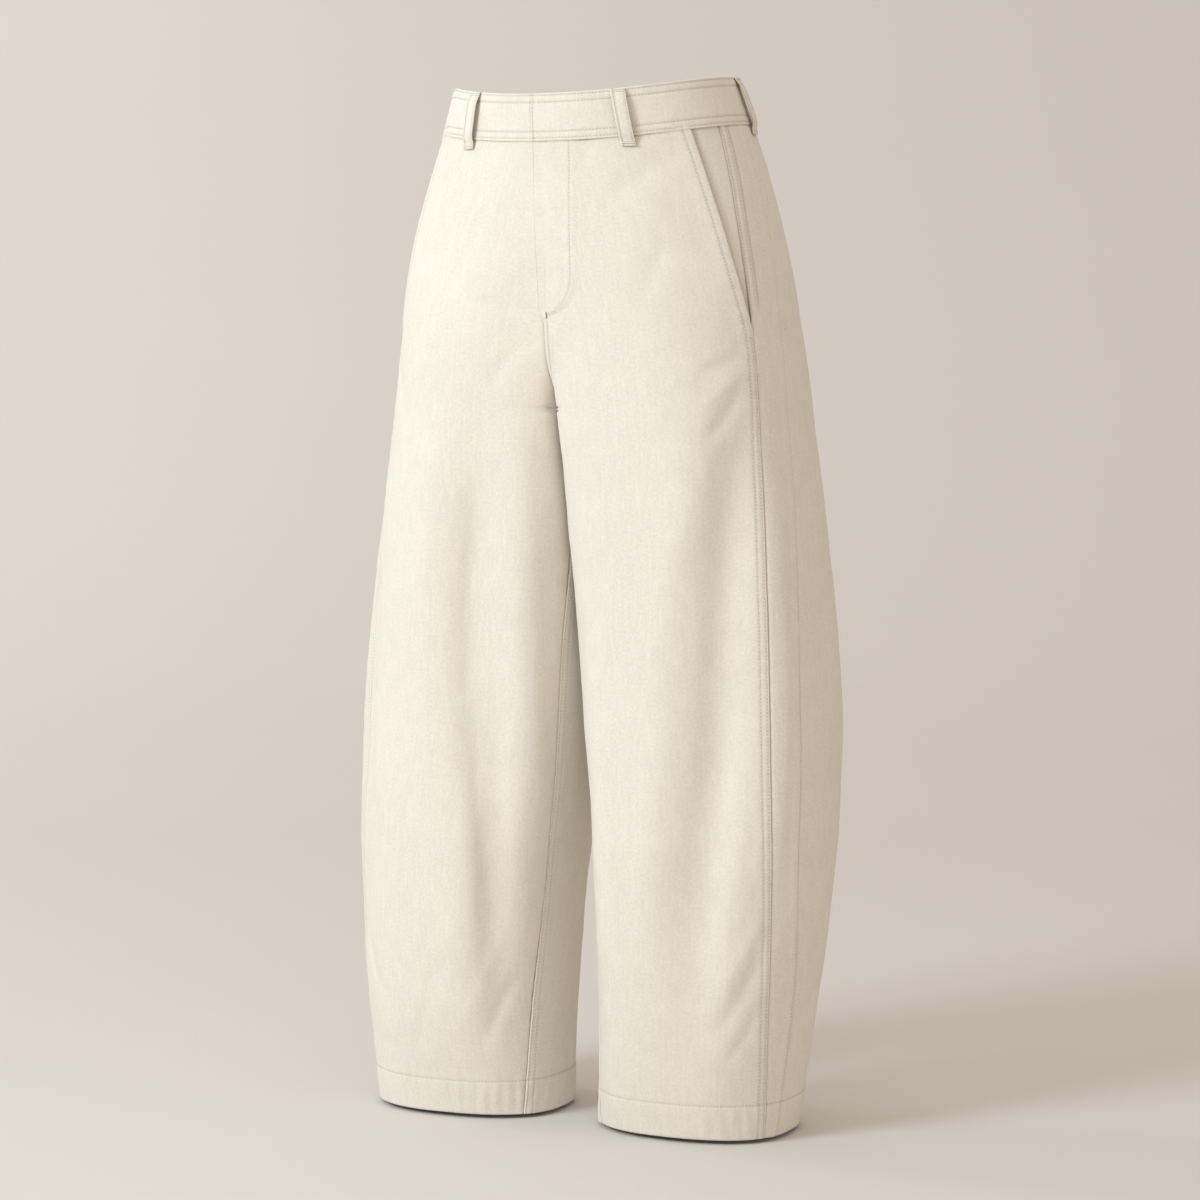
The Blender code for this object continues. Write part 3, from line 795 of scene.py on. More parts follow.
def side_relief(side, panel):
    heights, start, end = panel["heights"], panel["start"], panel["end"]
    total = body_relief(side, panel)
    free = ease((heights - POCKET_BOTTOM - 8) / 20)
    total += 0.4 * free * lap_over(start, 8.6, 1.6) + (1 - free) * lap_under(start)
    total += pucker(start - 5, heights, 8, 0.25, 13, 2.2 + side)
    total += 0.85 * lap_over(end, 5.0, 6)
    total += pucker(end, heights, 8, 0.22, 21, 0.2 + side)
    low = ease((-740 - heights) / 10)
    rows = [(start, 1.9, free), (start, 7.4, free), (end, 2.0, low)] + shared_rows(heights)
    # Painted shadow along the seam with the front, and along a line 9.9 mm in from it above the pocket.
    lines = [(start, 1 - 0.45 * free), (start - 9.9, 0.7 * free)] + painted_shadow_under_band(heights)
    relief, painted_shade = marks(rows, lines)
    return total + relief, painted_shade


def back_relief(side, panel):
    heights, start, end = panel["heights"], panel["start"], panel["end"]
    total = body_relief(side, panel) + lap_under(start)
    over = np.ones_like(heights) if side > 0 else below_crotch(heights)
    seam = lap_over(end) + pucker(end - 4, heights, 10, 0.35, 16, 1.9 + side)
    calm = crotch_calm(heights)
    total += calm * (over * seam + (1 - over) * lap_under(end))
    rows = [(end, 2.0, over * calm), (end, 8.2, over * calm)] + shared_rows(heights)
    # Painted shadow along the rear seam, and along the centre seam where the other back laps over.
    lines = [(start, 1.0), (end, 0.9 * (1 - over))] + painted_shadow_under_band(heights)
    relief, painted_shade = marks(rows, lines)
    return total + relief, painted_shade


def facing_start(height):
    return pocket_edge(height) - FACING_UNDERLAP


def facing_last(height):
    return np.array([-5.0, -3.0, -1.5, 0.0, 1.5])


def facing_relief(side, panel):
    past = panel["start"] - 18
    sink = FACING_SINK - 0.9 * ease(past / FACING_RISE)
    # Painted shadow on the pocket cloth behind the front's lip, and along its seam.
    painted_shadow_behind_lip = np.exp(-(((panel["start"] - 16) / 5) ** 2))
    lines = [(panel["end"], 0.9)] + painted_shadow_under_band(panel["heights"])
    _, painted_shade = marks([], lines)
    return body_relief(side, panel) - sink, np.clip(painted_shade + 0.5 * painted_shadow_behind_lip, 0, 1)


def finished_panel(name, side, panel, relief, material, walls):
    panel["points"] = panel["points"] + panel["ways"] * relief[..., None]
    inner = panel["points"] - panel["ways"] * walls[..., None]
    panel["object"] = add_shell(
        name, panel["points"], inner, panel["across"], panel["heights"], material, side,
        panel["painted_shade"],
    )
    panel["name"], panel["side"] = name, side
    return panel


def add_front(side, material):
    edges, heights = (front_edge, front_outer_edge), cloth_heights(FLY_CURVE_TOP - 16, FLY_END - 4)
    seams = ("centre", "")
    panel = panel_surface(side, heights, edges, front_first(side), over_last, 60, seams)
    relief, panel["painted_shade"] = front_relief(side, panel)
    return finished_panel(
        "front_panel_" + side_name(side), side, panel, relief, material, thickness(panel["heights"])
    )


def add_side_panel(side, material):
    edges, heights = (side_edge, rear_edge), cloth_heights()
    panel = panel_surface(side, heights, edges, side_first, over_last, 4, ("", ""))
    relief, panel["painted_shade"] = side_relief(side, panel)
    return finished_panel(
        "side_panel_" + side_name(side), side, panel, relief, material, thickness(panel["heights"])
    )


def add_back(side, material):
    edges, heights = (rear_edge, back_edge), cloth_heights()
    seams = ("", "centre")
    panel = panel_surface(side, heights, edges, under_first, back_last(side), 105, seams)
    relief, panel["painted_shade"] = back_relief(side, panel)
    return finished_panel(
        "back_panel_" + side_name(side), side, panel, relief, material, thickness(panel["heights"])
    )


def add_facing(side, material):
    heights = np.concatenate([[TOP_TUCK, 2.0], np.arange(-2.0, FACING_BOTTOM, -ROW_STEP)])
    edges = (facing_start, side_edge)
    panel = panel_surface(side, heights, edges, over_first, facing_last, 12, ("", ""))
    relief, panel["painted_shade"] = facing_relief(side, panel)
    walls = np.full(relief.shape, WALL)
    return finished_panel("pocket_cloth_" + side_name(side), side, panel, relief, material, walls)


BAND_ROWS = (3.0, 9.0, 36.5, 43.0)
BAND_END_ROW = 2.2


def band_angle(height, x):
    """The angle in front at which the waist ring is x past the middle, away from its side."""
    s = section(height)
    share = (abs(x) / s["reach_in"]) ** (s["roundness"] / 2)
    return float(np.degrees(np.arccos(np.sign(x) * share)))


def band_heights():
    low = [BAND_BOTTOM, 0.5, 1.0, 1.8, 2.4, 3.0, 3.6, 4.5, 6.0, 7.5, 8.4, 9.0, 9.6, 10.6]
    high = [35.0, 35.9, 36.5, 37.1, 38.2, 40.0, 41.6, 42.4, 43.0, 43.6, 44.2, 44.6, 44.9, BAND_TOP]
    return np.concatenate([low, np.arange(13.0, 34.0, 2.8), high])[::-1]


def add_band(side, material):
    """One half of the waistband. The left one steps out in front, over the right one."""
    rows = {"points": [], "start": [], "across": [], "painted_shade": []}
    heights = band_heights()
    for height in heights:
        s = section(float(height))
        end = band_angle(height, BAND_LAP if side > 0 else BAND_UNDERLAP)
        angles = np.linspace(end, BACK_MIDDLE, DENSE_STEPS)
        x, y = on_ring(s, angles)
        ring = lengths_along(np.stack([x, y], -1))
        near = np.array(NEAR_EDGE[:12])
        wanted = np.concatenate([near, np.linspace(12.5, ring[-1], 150)])
        at = np.interp(wanted, ring, angles)
        step = BAND_STEP * (1 - ease((wanted - BAND_STEP_FROM) / BAND_STEP_REACH))
        relief = BAND_PROUD + (step if side > 0 else 0)
        up = np.full(len(wanted), float(height))
        relief = relief + 0.35 * uneven(wanted, up, 55, 3.0 + side) + 0.18 * uneven(wanted, up, 17, 1.1)
        marked = [(up, row, np.ones_like(up)) for row in BAND_ROWS]
        marked.append((wanted, BAND_END_ROW, np.ones_like(up) if side > 0 else np.zeros_like(up)))
        # Painted shadow on the right half along the end of the left half that laps over it.
        past_lap = BAND_UNDERLAP + BAND_LAP
        lap_painted_shadow = [(wanted - past_lap, 0.0 if side > 0 else 0.9)]
        dent, painted_shade = marks(marked, lap_painted_shadow)
        relief = relief + dent
        relief = relief + pucker(up - 6, wanted, 5, 0.28, 9, 0.5 + side)
        relief = relief + pucker(up - 40, wanted, 4, 0.2, 8, 2.5 + side)
        rounding = np.clip(1 - (BAND_TOP - up) / 1.0, 0, 1) ** 2
        rounding = rounding + np.clip(1 - (up - BAND_BOTTOM) / 0.8, 0, 1) ** 2
        rounding = rounding + np.clip(1 - wanted / EDGE_ROUND, 0, 1) ** 2
        relief = relief - 0.7 * rounding
        out_x, out_y = moved_out(s, at, relief)
        out_x[-1] = 0.0
        rows["points"].append(np.stack([out_x, out_y, dipped(side, height, *on_ring(s, at))], -1))
        rows["start"].append(wanted)
        rows["across"].append(wanted)
        rows["painted_shade"].append(painted_shade)
    panel = {key: np.stack(value) for key, value in rows.items()}
    panel["heights"] = heights[:, None] * np.ones(panel["start"].shape)
    panel["end"] = panel["start"][:, -1:] - panel["start"]
    panel["ways"] = level_outward(panel["points"])
    inner = panel["points"] - panel["ways"] * BAND_CLOTH_WALL
    inner[:, -1, 0] = 0.0
    panel["object"] = add_shell(
        "waistband_cloth_" + side_name(side), panel["points"], inner, panel["across"],
        panel["heights"], material, side, panel["painted_shade"],
    )
    panel["name"], panel["side"] = "waistband_cloth_" + side_name(side), side
    return panel


def level_outward(grid):
    """Level unit vectors out of the cloth at each point of a grid of rows."""
    along = np.gradient(grid, axis=1)
    normal = np.stack([along[..., 1], -along[..., 0], np.zeros(grid.shape[:2])], -1)
    return normal / np.linalg.norm(normal, axis=-1, keepdims=True)


# Belt loops, as in the solids.
LOOP_PLACES = (("front", 121.0), ("side", 189.0))
LOOP_WIDTH = 14.0
LOOP_WALL = 1.6
LOOP_PATH = ((44.4, 1.2), (41.5, 1.5), (38, 3.2), (33, 4.6), (24, 5.0), (12, 5.0), (5, 4.7),
             (0, 3.4), (-4, 1.3), (-9, 0.5))
LOOP_SHARES = (-0.5, -0.485, -0.44, -0.34, -0.2, 0.0, 0.2, 0.34, 0.44, 0.485, 0.5)
LOOP_STITCH = 0.37
# Painted shade on each loop's inner face, darkening its side walls and the gap behind it.
LOOP_INNER_PAINTED_SHADE = 0.85


def cloth_at(side, height, degrees):
    """A point on the waistband or panel at an angle round the waist, and the way out."""
    nearby = np.array([-SMALL_TURN, 0.0, SMALL_TURN])
    height = float(height)
    if height >= 0:
        x, y = on_ring(section(height), degrees + nearby)
    else:
        middle = back_edge(height) if degrees == BACK_MIDDLE else degrees
        row = leg_row(side, height, middle + nearby)
        x, y = row[:, 0], row[:, 1]
    way = np.array([y[2] - y[0], x[0] - x[2], 0.0])
    return np.array([x[1], y[1], dipped(side, height, x[1], y[1])]), way / np.linalg.norm(way)


def add_belt_loop(name, side, degrees, material):
    """A strap from the top of the waistband to just below its seam, standing off between."""
    _, way = cloth_at(side, 0, degrees)
    across = np.array([-way[1], way[0], 0.0])
    index = np.arange(len(LOOP_PATH))
    fine = np.linspace(0, len(LOOP_PATH) - 1, 46)
    path_heights, stand_offs = [smooth_curve(fine, zip(index, column)) for column in zip(*LOOP_PATH)]
    shares = np.array(LOOP_SHARES)
    outer, inner = [], []
    for height, stand_off in zip(path_heights, stand_offs):
        base, _ = cloth_at(side, height, degrees)
        if degrees == BACK_MIDDLE:
            base[0] = 0.0
        ended = max(float(ease((height - 36) / 5)), float(ease((-2 - height) / 4)))
        rounding = np.clip((abs(shares) - 0.455) / 0.045, 0, 1) ** 2
        from_row = (abs(shares) - LOOP_STITCH) * LOOP_WIDTH
        crown = LOOP_WALL + 0.5 * ended - 0.45 * rounding + channel(from_row, 0.0)
        edges = base + across * LOOP_WIDTH * shares[:, None]
        outer.append(edges + way * (stand_off + crown)[:, None])
        inner.append(edges + way * (stand_off + 0.35 * rounding)[:, None])
    outer, inner = np.array(outer), np.array(inner)
    heights = path_heights[:, None] * np.ones((1, len(shares)))
    places = np.ones((len(path_heights), 1)) * (shares + 0.5) * LOOP_WIDTH
    ways = np.ones(outer.shape) * way
    loop = {"points": outer, "ways": ways, "heights": heights, "start": places,
            "end": LOOP_WIDTH - places, "name": name, "side": side}
    from_row = (abs(shares) - LOOP_STITCH) * LOOP_WIDTH * np.ones(heights.shape)
    _, painted_shade = marks([(from_row, 0.0, 1.0)], [])
    loop["object"] = add_shell(
        name, outer, inner, places, heights, material, side, painted_shade, LOOP_INNER_PAINTED_SHADE
    )
    return loop


# Sewing thread.
STITCH_PITCH = 3.3
STITCH_LENGTH = 2.2
THREAD_RADIUS = 0.44
STITCH_RINGS = ((-0.5, 0.7, -0.05), (-0.3, 1.0, 0.06), (0.3, 1.0, 0.06), (0.5, 0.7, -0.05))
STITCH_ARC = (0.0, 60.0, 120.0, 180.0)
# Where along a stitch, from its middle, the painted shade at its ends begins and is full.
STITCH_END_SHADE_FROM = 0.3
STITCH_END_SHADE_TO = 0.42


def path_down(panel, edge, distance, top, bottom):
    """Points and ways down a panel at a distance from its "start" or "end" edge."""
    points, ways = [], []
    for r in range(len(panel["heights"])):
        if not bottom <= panel["heights"][r, 0] <= top:
            continue
        field = panel[edge][r]
        wanted = distance(panel["heights"][r, 0]) if callable(distance) else distance
        order = slice(None) if field[-1] > field[0] else slice(None, None, -1)
        points.append([np.interp(wanted, field[order], panel["points"][r, order, k]) for k in range(3)])
        ways.append([np.interp(wanted, field[order], panel["ways"][r, order, k]) for k in range(3)])
    return np.array(points), np.array(ways)


def path_across(panel, height, low=0.0, high=0.0):
    """Points and ways along a panel's row at a height, from low to the end less high."""
    r = int(np.argmin(abs(panel["heights"][:, 0] - height)))
    keep = (panel["start"][r] >= low) & (panel["end"][r] >= high)
    return panel["points"][r, keep], panel["ways"][r, keep]


def even_stitches(path, pitch=STITCH_PITCH, length=STITCH_LENGTH):
    """Stitches spaced evenly on a path: middles, ways along, ways out and lengths."""
    points, ways = path
    along = lengths_along(points)
    count = int(along[-1] / pitch)
    if count < 2:
        return []
    places = (np.arange(count) + 0.5) * along[-1] / count
    middle = picked(places, along, points)
    ahead = picked(places + 0.5, along, points) - picked(places - 0.5, along, points)
    ahead /= np.linalg.norm(ahead, axis=1, keepdims=True)
    out = picked(places, along, ways)
    return [(m, a, o, length) for m, a, o in zip(middle, ahead, out)]


def bar_tack(points, ways, length, pitch=0.55):
    """A dense bar of short stitches across a path of two points."""
    way = ways[0] / np.linalg.norm(ways[0])
    run = points[1] - points[0]
    size = np.linalg.norm(run)
    run = run / size
    cross = np.cross(way, run)
    count = max(int(size / pitch), 2)
    return [
        (points[0] + run * size * (k + 0.5) / count + way * 0.12, cross, way, length)
        for k in range(count)
    ]


def add_stitches(name, stitches, side, material):
    """One object of half-sunk thread loops."""
    middle = np.array([s[0] for s in stitches])
    ahead = np.array([s[1] for s in stitches])
    out = np.array([s[2] for s in stitches])
    size = np.array([s[3] for s in stitches])
    out = out - ahead * np.sum(out * ahead, axis=1, keepdims=True)
    out = out / np.linalg.norm(out, axis=1, keepdims=True)
    cross = np.cross(ahead, out)
    points = []
    for place, share, lift in STITCH_RINGS:
        for degrees in STITCH_ARC:
            radius = THREAD_RADIUS * share
            sideways = radius * np.cos(np.radians(degrees))
            upwards = radius * np.sin(np.radians(degrees)) + lift
            points.append(middle + ahead * (place * size)[:, None] + cross * sideways + out * upwards)
    points = np.stack(points, 1)
    columns = len(STITCH_ARC)
    faces = []
    for ring in range(len(STITCH_RINGS) - 1):
        for k in range(columns - 1):
            a = ring * columns + k
            faces.append((a, a + 1, a + columns + 1, a + columns))
    per_stitch = points.shape[1]
    faces = np.array(faces)[None] + per_stitch * np.arange(len(points))[:, None, None]
    uv = np.tile(np.array([[r[0], d / 180] for r in STITCH_RINGS for d in STITCH_ARC]), (len(points), 1))
    return add_mesh(name, points.reshape(-1, 3), faces.reshape(-1, 4), uv, material, side)


def panel_stitches(panels, side):
    """The stitches of each of one side's panels, by panel."""
    front, flank, back = panels["front"], panels["side"], panels["back"]
    low = HEM_LINE + 1
    rows = {
        "front": [path_down(front, "end", 8.0, -3, low), path_down(front, "end", 2.0, POCKET_BOTTOM - 2, low)],
        "side": [
            path_down(flank, "start", 1.9, -3, POCKET_BOTTOM + 8),
            path_down(flank, "start", 7.4, -3, POCKET_BOTTOM + 18),
            path_down(flank, "end", 2.0, -742, low),
        ],
        "back": [
            path_down(back, "end", 2.0, CROTCH_HEIGHT - 8 if side < 0 else -3, low),
            path_down(back, "end", 8.2, CROTCH_HEIGHT - 8 if side < 0 else -3, low),
        ],
    }
    if side > 0:
        rows["front"].append(path_down(front, "start", fly_stitch, -3, FLY_BOTTOM + 1))
        rows["front"].append(path_down(front, "start", 4.0, FLY_END - 1, CROTCH_HEIGHT + 6))
    for name, panel in (("front", front), ("side", flank), ("back", back)):
        rows[name].append(path_across(panel, HEM_LINE, 0.5, 0.5))
    stitches = {
        name: [s for path in paths for s in even_stitches(path)] for name, paths in rows.items()
    }
    if side > 0:
        points, ways = path_down(front, "start", 1.5, FLY_BOTTOM + 3, FLY_END + 3.5)
        stitches["front"] += bar_tack(points[[0, -1]], ways[[0, -1]], 5.5)
    return stitches


def loop_stitches(loop):
    inset = LOOP_WIDTH * (0.5 - LOOP_STITCH)
    stitches = []
    for edge in ("start", "end"):
        stitches += even_stitches(path_down(loop, edge, inset, 45, -10), 2.8, 2.0)
    for height in (42.0, -6.3):
        points, ways = path_across(loop, height, 0.6, 0.6)
        stitches += bar_tack(points[[0, -1]], ways[[0, -1]], 1.9)
    return stitches


# Cloth looks. Colours are linear.
CLOTH_COLOUR = (0.81, 0.761, 0.688)
TRIM_COLOUR = (0.82, 0.771, 0.698)
THREAD_COLOUR = (0.87, 0.835, 0.77)
# The dark colour of painted shade, at seams, stitch rows, loop gaps and thread ends.
PAINTED_SHADE_COLOUR = (0.36, 0.30, 0.215)
FLOOR_COLOUR = (0.695, 0.66, 0.646)
BAND_PERIOD = 0.314159
TWILL_PERIOD = 0.00085
FLOAT_PERIOD = 0.0006
TWILL_DEGREES = 62.0


class Graph:
    """Short ways to add and join a material's nodes."""

    def __init__(self, name):
        self.material = bpy.data.materials.new(name)
        self.material.use_nodes = True
        self.tree = self.material.node_tree
        self.shader = self.tree.nodes["Principled BSDF"]

    def node(self, kind, **values):
        made = self.tree.nodes.new(kind)
        for key, value in values.items():
            setattr(made, key, value)
        return made

    def join(self, source, output, target, socket):
        self.tree.links.new(source.outputs[output], target.inputs[socket])

    def maths(self, operation, first, second):
        made = self.node("ShaderNodeMath", operation=operation)
        for place, value in enumerate((first, second)):
            if isinstance(value, tuple):
                self.join(value[0], value[1], made, place)
            else:
                made.inputs[place].default_value = value
        return made

    def set(self, **values):
        for key, value in values.items():
            self.shader.inputs[key.replace("_", " ")].default_value = value


def cloth_waves(graph, degrees, period, turn_from, distortion):
    """Even bands on the cloth's own metric coordinates, at an angle."""
    mapping = graph.node("ShaderNodeMapping")
    mapping.inputs["Rotation"].default_value = (0, 0, np.radians(degrees))
    graph.join(turn_from, "UV", mapping, "Vector")
    wave = graph.node("ShaderNodeTexWave", wave_type="BANDS", bands_direction="X")
    wave.inputs["Scale"].default_value = BAND_PERIOD / period
    wave.inputs["Distortion"].default_value = distortion
    wave.inputs["Detail"].default_value = 1.0
    wave.inputs["Detail Scale"].default_value = 0.6
    graph.join(mapping, "Vector", wave, "Vector")
    return wave


def noise(graph, source, output, scale, detail, stretch=None):
    vector = (source, output)
    if stretch is not None:
        mapping = graph.node("ShaderNodeMapping")
        mapping.inputs["Scale"].default_value = stretch
        graph.join(source, output, mapping, "Vector")
        vector = (mapping, "Vector")
    made = graph.node("ShaderNodeTexNoise")
    made.inputs["Scale"].default_value = scale
    made.inputs["Detail"].default_value = detail
    graph.join(vector[0], vector[1], made, "Vector")
    return made


def twill(name, colour, darkest=0.88):
    """Brushed cotton twill: diagonal wales of short floats, a speckle of uneven yarn, slubs
    and a faint cloudiness, with painted shade darkening its colour where the mesh says that seams and stitches
    shade it."""
    graph = Graph(name)
    uv = graph.node("ShaderNodeTexCoord")
    wale = cloth_waves(graph, TWILL_DEGREES, TWILL_PERIOD, uv, 0.6)
    floats = cloth_waves(graph, TWILL_DEGREES + 72, FLOAT_PERIOD, uv, 0.8)
    fuzz = noise(graph, uv, "UV", 1500, 2)
    speckle = noise(graph, uv, "UV", 400, 3)
    slub = noise(graph, uv, "UV", 300, 2, (1, 0.12, 1))
    marble = noise(graph, uv, "UV", 95, 4, (1, 0.55, 1))
    clouds = noise(graph, uv, "Object", 16, 3)
    parts = ((wale, 0.8), (floats, 0.4), (fuzz, 0.6), (speckle, 1.7), (slub, 0.8), (marble, 0.6), (clouds, 0.5))
    weave = None
    for source, share in parts:
        part = (graph.maths("MULTIPLY", (source, "Fac"), share / sum(row[1] for row in parts)), 0)
        weave = part if weave is None else (graph.maths("ADD", weave, part), 0)
    bump = graph.node("ShaderNodeBump")
    bump.inputs["Strength"].default_value = 0.55
    bump.inputs["Distance"].default_value = 0.001
    graph.join(*weave, bump, "Height")
    graph.join(bump, "Normal", graph.shader, "Normal")
    ramp = graph.node("ShaderNodeValToRGB")
    ramp.color_ramp.elements[0].position = 0.40
    ramp.color_ramp.elements[0].color = (*[c * darkest for c in colour], 1)
    ramp.color_ramp.elements[1].position = 0.60
    ramp.color_ramp.elements[1].color = (*[min(c * 1.06, 1) for c in colour], 1)
    graph.join(*weave, ramp, "Fac")
    # Painted shade: a value from the mesh turns the cloth's colour towards the painted shade colour.
    painted_shade = graph.node("ShaderNodeAttribute", attribute_name="painted_shade")
    mix = graph.node("ShaderNodeMix", data_type="RGBA")
    graph.join(painted_shade, "Fac", mix, "Factor")
    graph.tree.links.new(ramp.outputs["Color"], mix.inputs[6])
    mix.inputs[7].default_value = (*PAINTED_SHADE_COLOUR, 1)
    graph.tree.links.new(mix.outputs[2], graph.shader.inputs["Base Color"])
    graph.set(Roughness=0.88, Metallic=0.0, Specular_IOR_Level=0.22, Sheen_Weight=0.15,
              Sheen_Roughness=0.55)
    return graph.material


def thread(name, colour):
    """Twisted polyester-cotton thread, with painted shade at each stitch's ends where it goes into the cloth.
    """
    graph = Graph(name)
    uv = graph.node("ShaderNodeTexCoord")
    twist = graph.node("ShaderNodeTexWave", wave_type="BANDS", bands_direction="DIAGONAL")
    twist.inputs["Scale"].default_value = 3.0
    graph.join(uv, "UV", twist, "Vector")
    ramp = graph.node("ShaderNodeValToRGB")
    ramp.color_ramp.elements[0].color = (*[c * 0.86 for c in colour], 1)
    ramp.color_ramp.elements[1].color = (*colour, 1)
    graph.join(twist, "Fac", ramp, "Fac")
    # Painted shade at each stitch's ends, where the thread goes into the cloth.
    ends = graph.node("ShaderNodeSeparateXYZ")
    graph.join(uv, "UV", ends, "Vector")
    from_middle = graph.maths("ABSOLUTE", (ends, "X"), 0.0)
    end_shade = graph.node("ShaderNodeMapRange")
    end_shade.inputs["From Min"].default_value = STITCH_END_SHADE_FROM
    end_shade.inputs["From Max"].default_value = STITCH_END_SHADE_TO
    graph.join(from_middle, 0, end_shade, "Value")
    mix = graph.node("ShaderNodeMix", data_type="RGBA")
    graph.join(end_shade, "Result", mix, "Factor")
    graph.tree.links.new(ramp.outputs["Color"], mix.inputs[6])
    mix.inputs[7].default_value = (*PAINTED_SHADE_COLOUR, 1)
    graph.tree.links.new(mix.outputs[2], graph.shader.inputs["Base Color"])
    bump = graph.node("ShaderNodeBump")
    bump.inputs["Strength"].default_value = 0.3
    bump.inputs["Distance"].default_value = 0.0001
    graph.join(twist, "Fac", bump, "Height")
    graph.join(bump, "Normal", graph.shader, "Normal")
    graph.set(Roughness=0.6, Metallic=0.0, Sheen_Weight=0.1)
    return graph.material


def plain(name, colour, roughness):
    graph = Graph(name)
    speckle = noise(graph, graph.node("ShaderNodeTexCoord"), "Object", 3, 2)
    ramp = graph.node("ShaderNodeValToRGB")
    ramp.color_ramp.elements[0].color = (*[c * 0.985 for c in colour], 1)
    ramp.color_ramp.elements[1].color = (*colour, 1)
    graph.join(speckle, "Fac", ramp, "Fac")
    graph.join(ramp, "Color", graph.shader, "Base Color")
    graph.set(Roughness=roughness, Metallic=0.0, Specular_IOR_Level=0.2)
    return graph.material


# The photo's viewpoint: millimetres from the middle of the waist.
VIEW_DEGREES = 27.7
VIEW_DOWN = 4.5
VIEW_DISTANCE = 3673.0
VIEW_HEIGHT = -158.0
VIEW_SIDEWAYS = 3.4
LENS = 114.72
FLOOR_GAP = 4.0


def camera_frame():
    """Level unit vectors to the camera's right and away from it."""
    turn = np.radians(VIEW_DEGREES)
    right = np.array([np.cos(turn), np.sin(turn), 0.0])
    away = np.array([-np.sin(turn), np.cos(turn), 0.0])
    return right, away


def add_camera():
    right, away = camera_frame()
    data = bpy.data.cameras.new("photo_view")
    data.lens = LENS
    data.sensor_width = 36.0
    data.clip_end = 30.0
    camera = bpy.data.objects.new("photo_view", data)
    place = -away * VIEW_DISTANCE + right * VIEW_SIDEWAYS
    camera.location = (place[0] * MM, place[1] * MM, VIEW_HEIGHT * MM)
    camera.rotation_euler = (np.radians(90 - VIEW_DOWN), 0, np.radians(VIEW_DEGREES))
    bpy.context.scene.collection.objects.link(camera)
    bpy.context.scene.camera = camera


SWEEP = ((-4.2, 0.0), (-2.0, 0.0), (0.0, 0.0), (1.6, 0.0), (2.2, 0.03), (2.75, 0.16), (3.2, 0.45),
         (3.5, 0.9), (3.65, 1.5), (3.7, 2.4), (3.7, 4.2))
SWEEP_HALF_WIDTH = 6.0


def add_stage(material):
    """A floor that sweeps up behind the trousers."""
    right, away = camera_frame()
    index = np.arange(len(SWEEP))
    fine = np.linspace(0, len(SWEEP) - 1, 61)
    back, up = [smooth_curve(fine, zip(index, column)) for column in zip(*SWEEP)]
    floor = (FLOOR_HEIGHT - FLOOR_GAP) * MM
    points, faces = [], []
    for b, u in zip(back, up):
        for share in (-1.0, 1.0):
            place = away * b + right * SWEEP_HALF_WIDTH * share
            points.append((place[0], place[1], floor + u))
    for k in range(len(back) - 1):
        faces.append((2 * k, 2 * k + 1, 2 * k + 3, 2 * k + 2))
    mesh = bpy.data.meshes.new("studio_floor")
    mesh.from_pydata([tuple(p) for p in points], [], faces)
    mesh.shade_smooth()
    mesh.materials.append(material)
    floor_object = bpy.data.objects.new("studio_floor", mesh)
    bpy.context.scene.collection.objects.link(floor_object)


# Lights: how far right, away and up of the waist (metres), the size, the watts and colour.
# The aim is a place in the same three directions.
LIGHT_COLUMNS = ("name", "place", "aim", "size", "power", "colour")
LIGHTS = (
    ("key", (-2.5, -1.85, 1.1), (0, 0, -0.42), 1.3, 71.0, (0.83, 0.93, 1.0)),
    ("front_fill", (0.2, -3.4, 0.6), (0, 0, -0.42), 2.4, 7.5, (1.0, 0.96, 0.90)),
    ("top", (0.0, 0.3, 2.6), (0, 0, -0.42), 2.4, 6.0, (1.0, 0.96, 0.90)),
    ("backdrop", (-2.6, 1.4, 2.0), (-0.9, 3.6, 0.7), 1.2, 34.0, (0.95, 0.97, 1.0)),
)
WORLD_COLOUR = (1.0, 0.905, 0.77)
WORLD_STRENGTH = 0.68


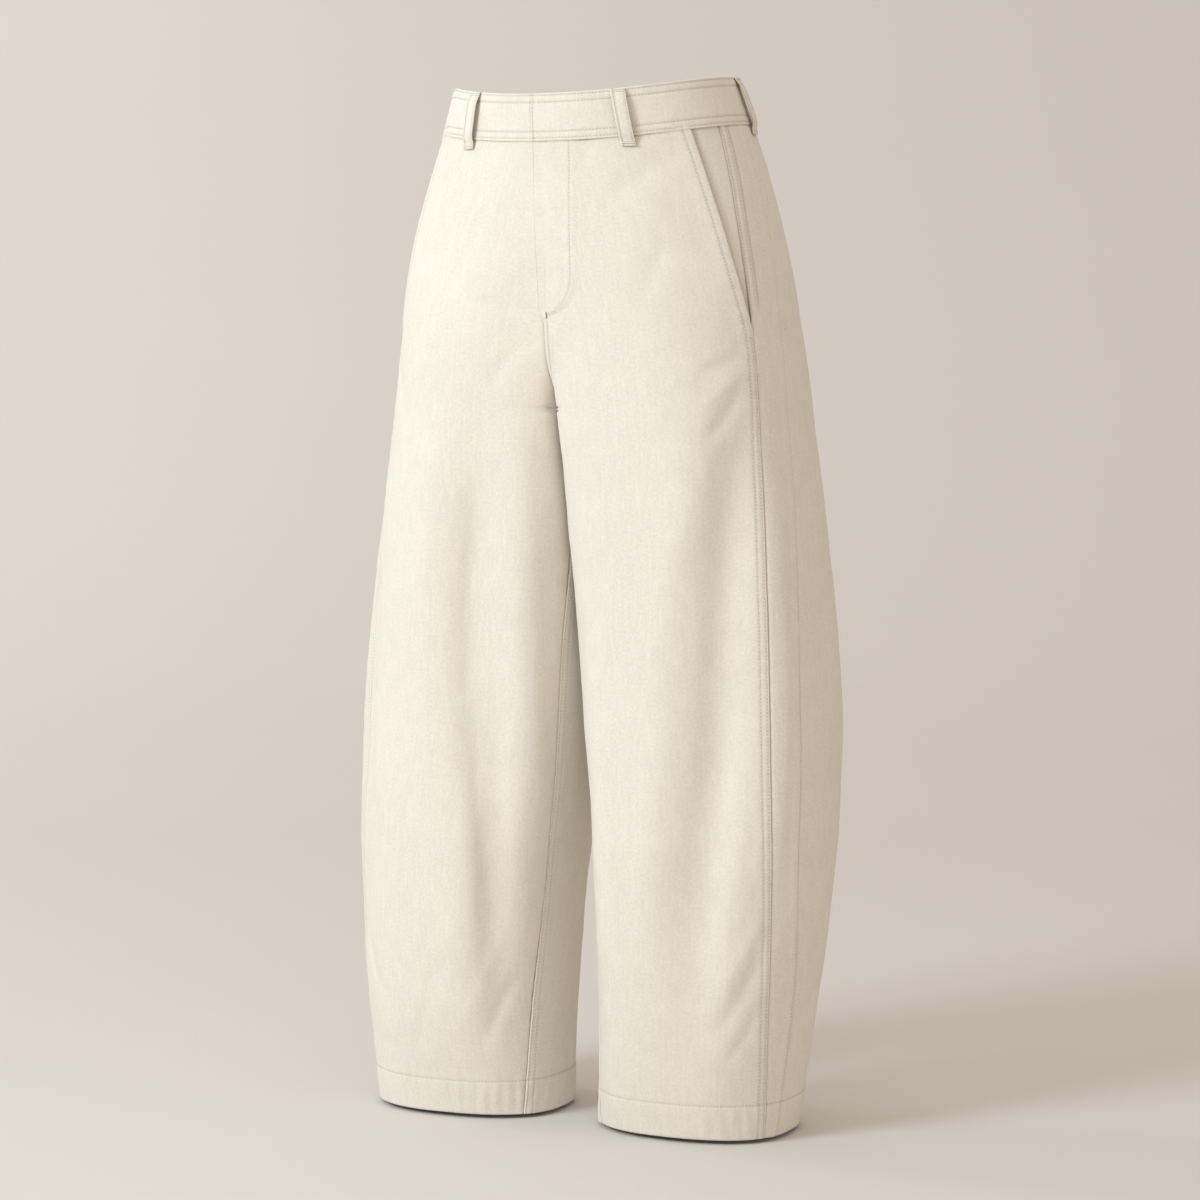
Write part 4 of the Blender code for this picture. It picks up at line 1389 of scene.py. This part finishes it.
def add_lights():
    right, away = camera_frame()
    for row in LIGHTS:
        light = dict(zip(LIGHT_COLUMNS, row))
        data = bpy.data.lights.new(light["name"], "AREA")
        data.shape = "DISK"
        data.size = light["size"]
        data.energy = light["power"]
        data.color = light["colour"]
        lamp = bpy.data.objects.new(light["name"], data)
        directions = np.array([right, away, (0, 0, 1)])
        place = np.array(light["place"]) @ directions
        aim = np.array(light["aim"]) @ directions - place
        lamp.location = tuple(place)
        flat = np.hypot(aim[0], aim[1])
        lamp.rotation_euler = (np.arctan2(flat, -aim[2]), 0, np.arctan2(aim[1], aim[0]) - np.pi / 2)
        bpy.context.scene.collection.objects.link(lamp)
    world = bpy.data.worlds.new("studio")
    world.use_nodes = True
    background = world.node_tree.nodes["Background"]
    background.inputs["Color"].default_value = (*WORLD_COLOUR, 1)
    background.inputs["Strength"].default_value = WORLD_STRENGTH
    bpy.context.scene.world = world
    bpy.context.scene.view_settings.view_transform = "Standard"


def declare(panel, node):
    thing = panel["object"]
    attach(thing, "root")
    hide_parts(*([node] if isinstance(node, str) else node))


def add_thread(name, stitches, side, material):
    thing = add_stitches(name, stitches, side, material)
    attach(thing, "root")
    return thing


def build():
    body = twill("ecru_twill", CLOTH_COLOUR)
    trim = twill("ecru_twill_trim", TRIM_COLOUR)
    sewing = thread("ecru_thread", THREAD_COLOUR)
    for side in (1, -1):
        where = side_name(side)
        panels = {
            "front": add_front(side, body),
            "side": add_side_panel(side, body),
            "back": add_back(side, body),
        }
        stitched = panel_stitches(panels, side)
        for name, panel in panels.items():
            threads = add_thread("stitches_" + name + "_" + where, stitched[name], side, sewing)
            nodes = [name + "_" + where] + (["fly"] if name == "front" and side > 0 else [])
            declare(panel, nodes)
        facing = add_facing(side, body)
        declare(facing, "pocket_facing_" + where)
        band = add_band(side, trim)
        rows = [path_across(band, row, 5.0 if side > 0 else 24.0, 2.0) for row in BAND_ROWS]
        if side > 0:
            rows.append(path_down(band, "start", BAND_END_ROW, BAND_TOP - 3, 3))
        stitches = [s for path in rows for s in even_stitches(path)]
        threads = add_thread("stitches_waistband_" + where, stitches, side, sewing)
        declare(band, "waistband_" + where)
        places = [(place, place + "_" + where, degrees) for place, degrees in LOOP_PLACES]
        if side > 0:
            places.append(("back", "back", BACK_MIDDLE))
        for _, ending, degrees in places:
            loop = add_belt_loop("loop_cloth_" + ending, side, degrees, trim)
            threads = add_thread("stitches_loop_" + ending, loop_stitches(loop), side, sewing)
            declare(loop, "belt_loop_" + ending)
    add_camera()
    add_stage(plain("studio_paper", FLOOR_COLOUR, 0.9))
    add_lights()


build()
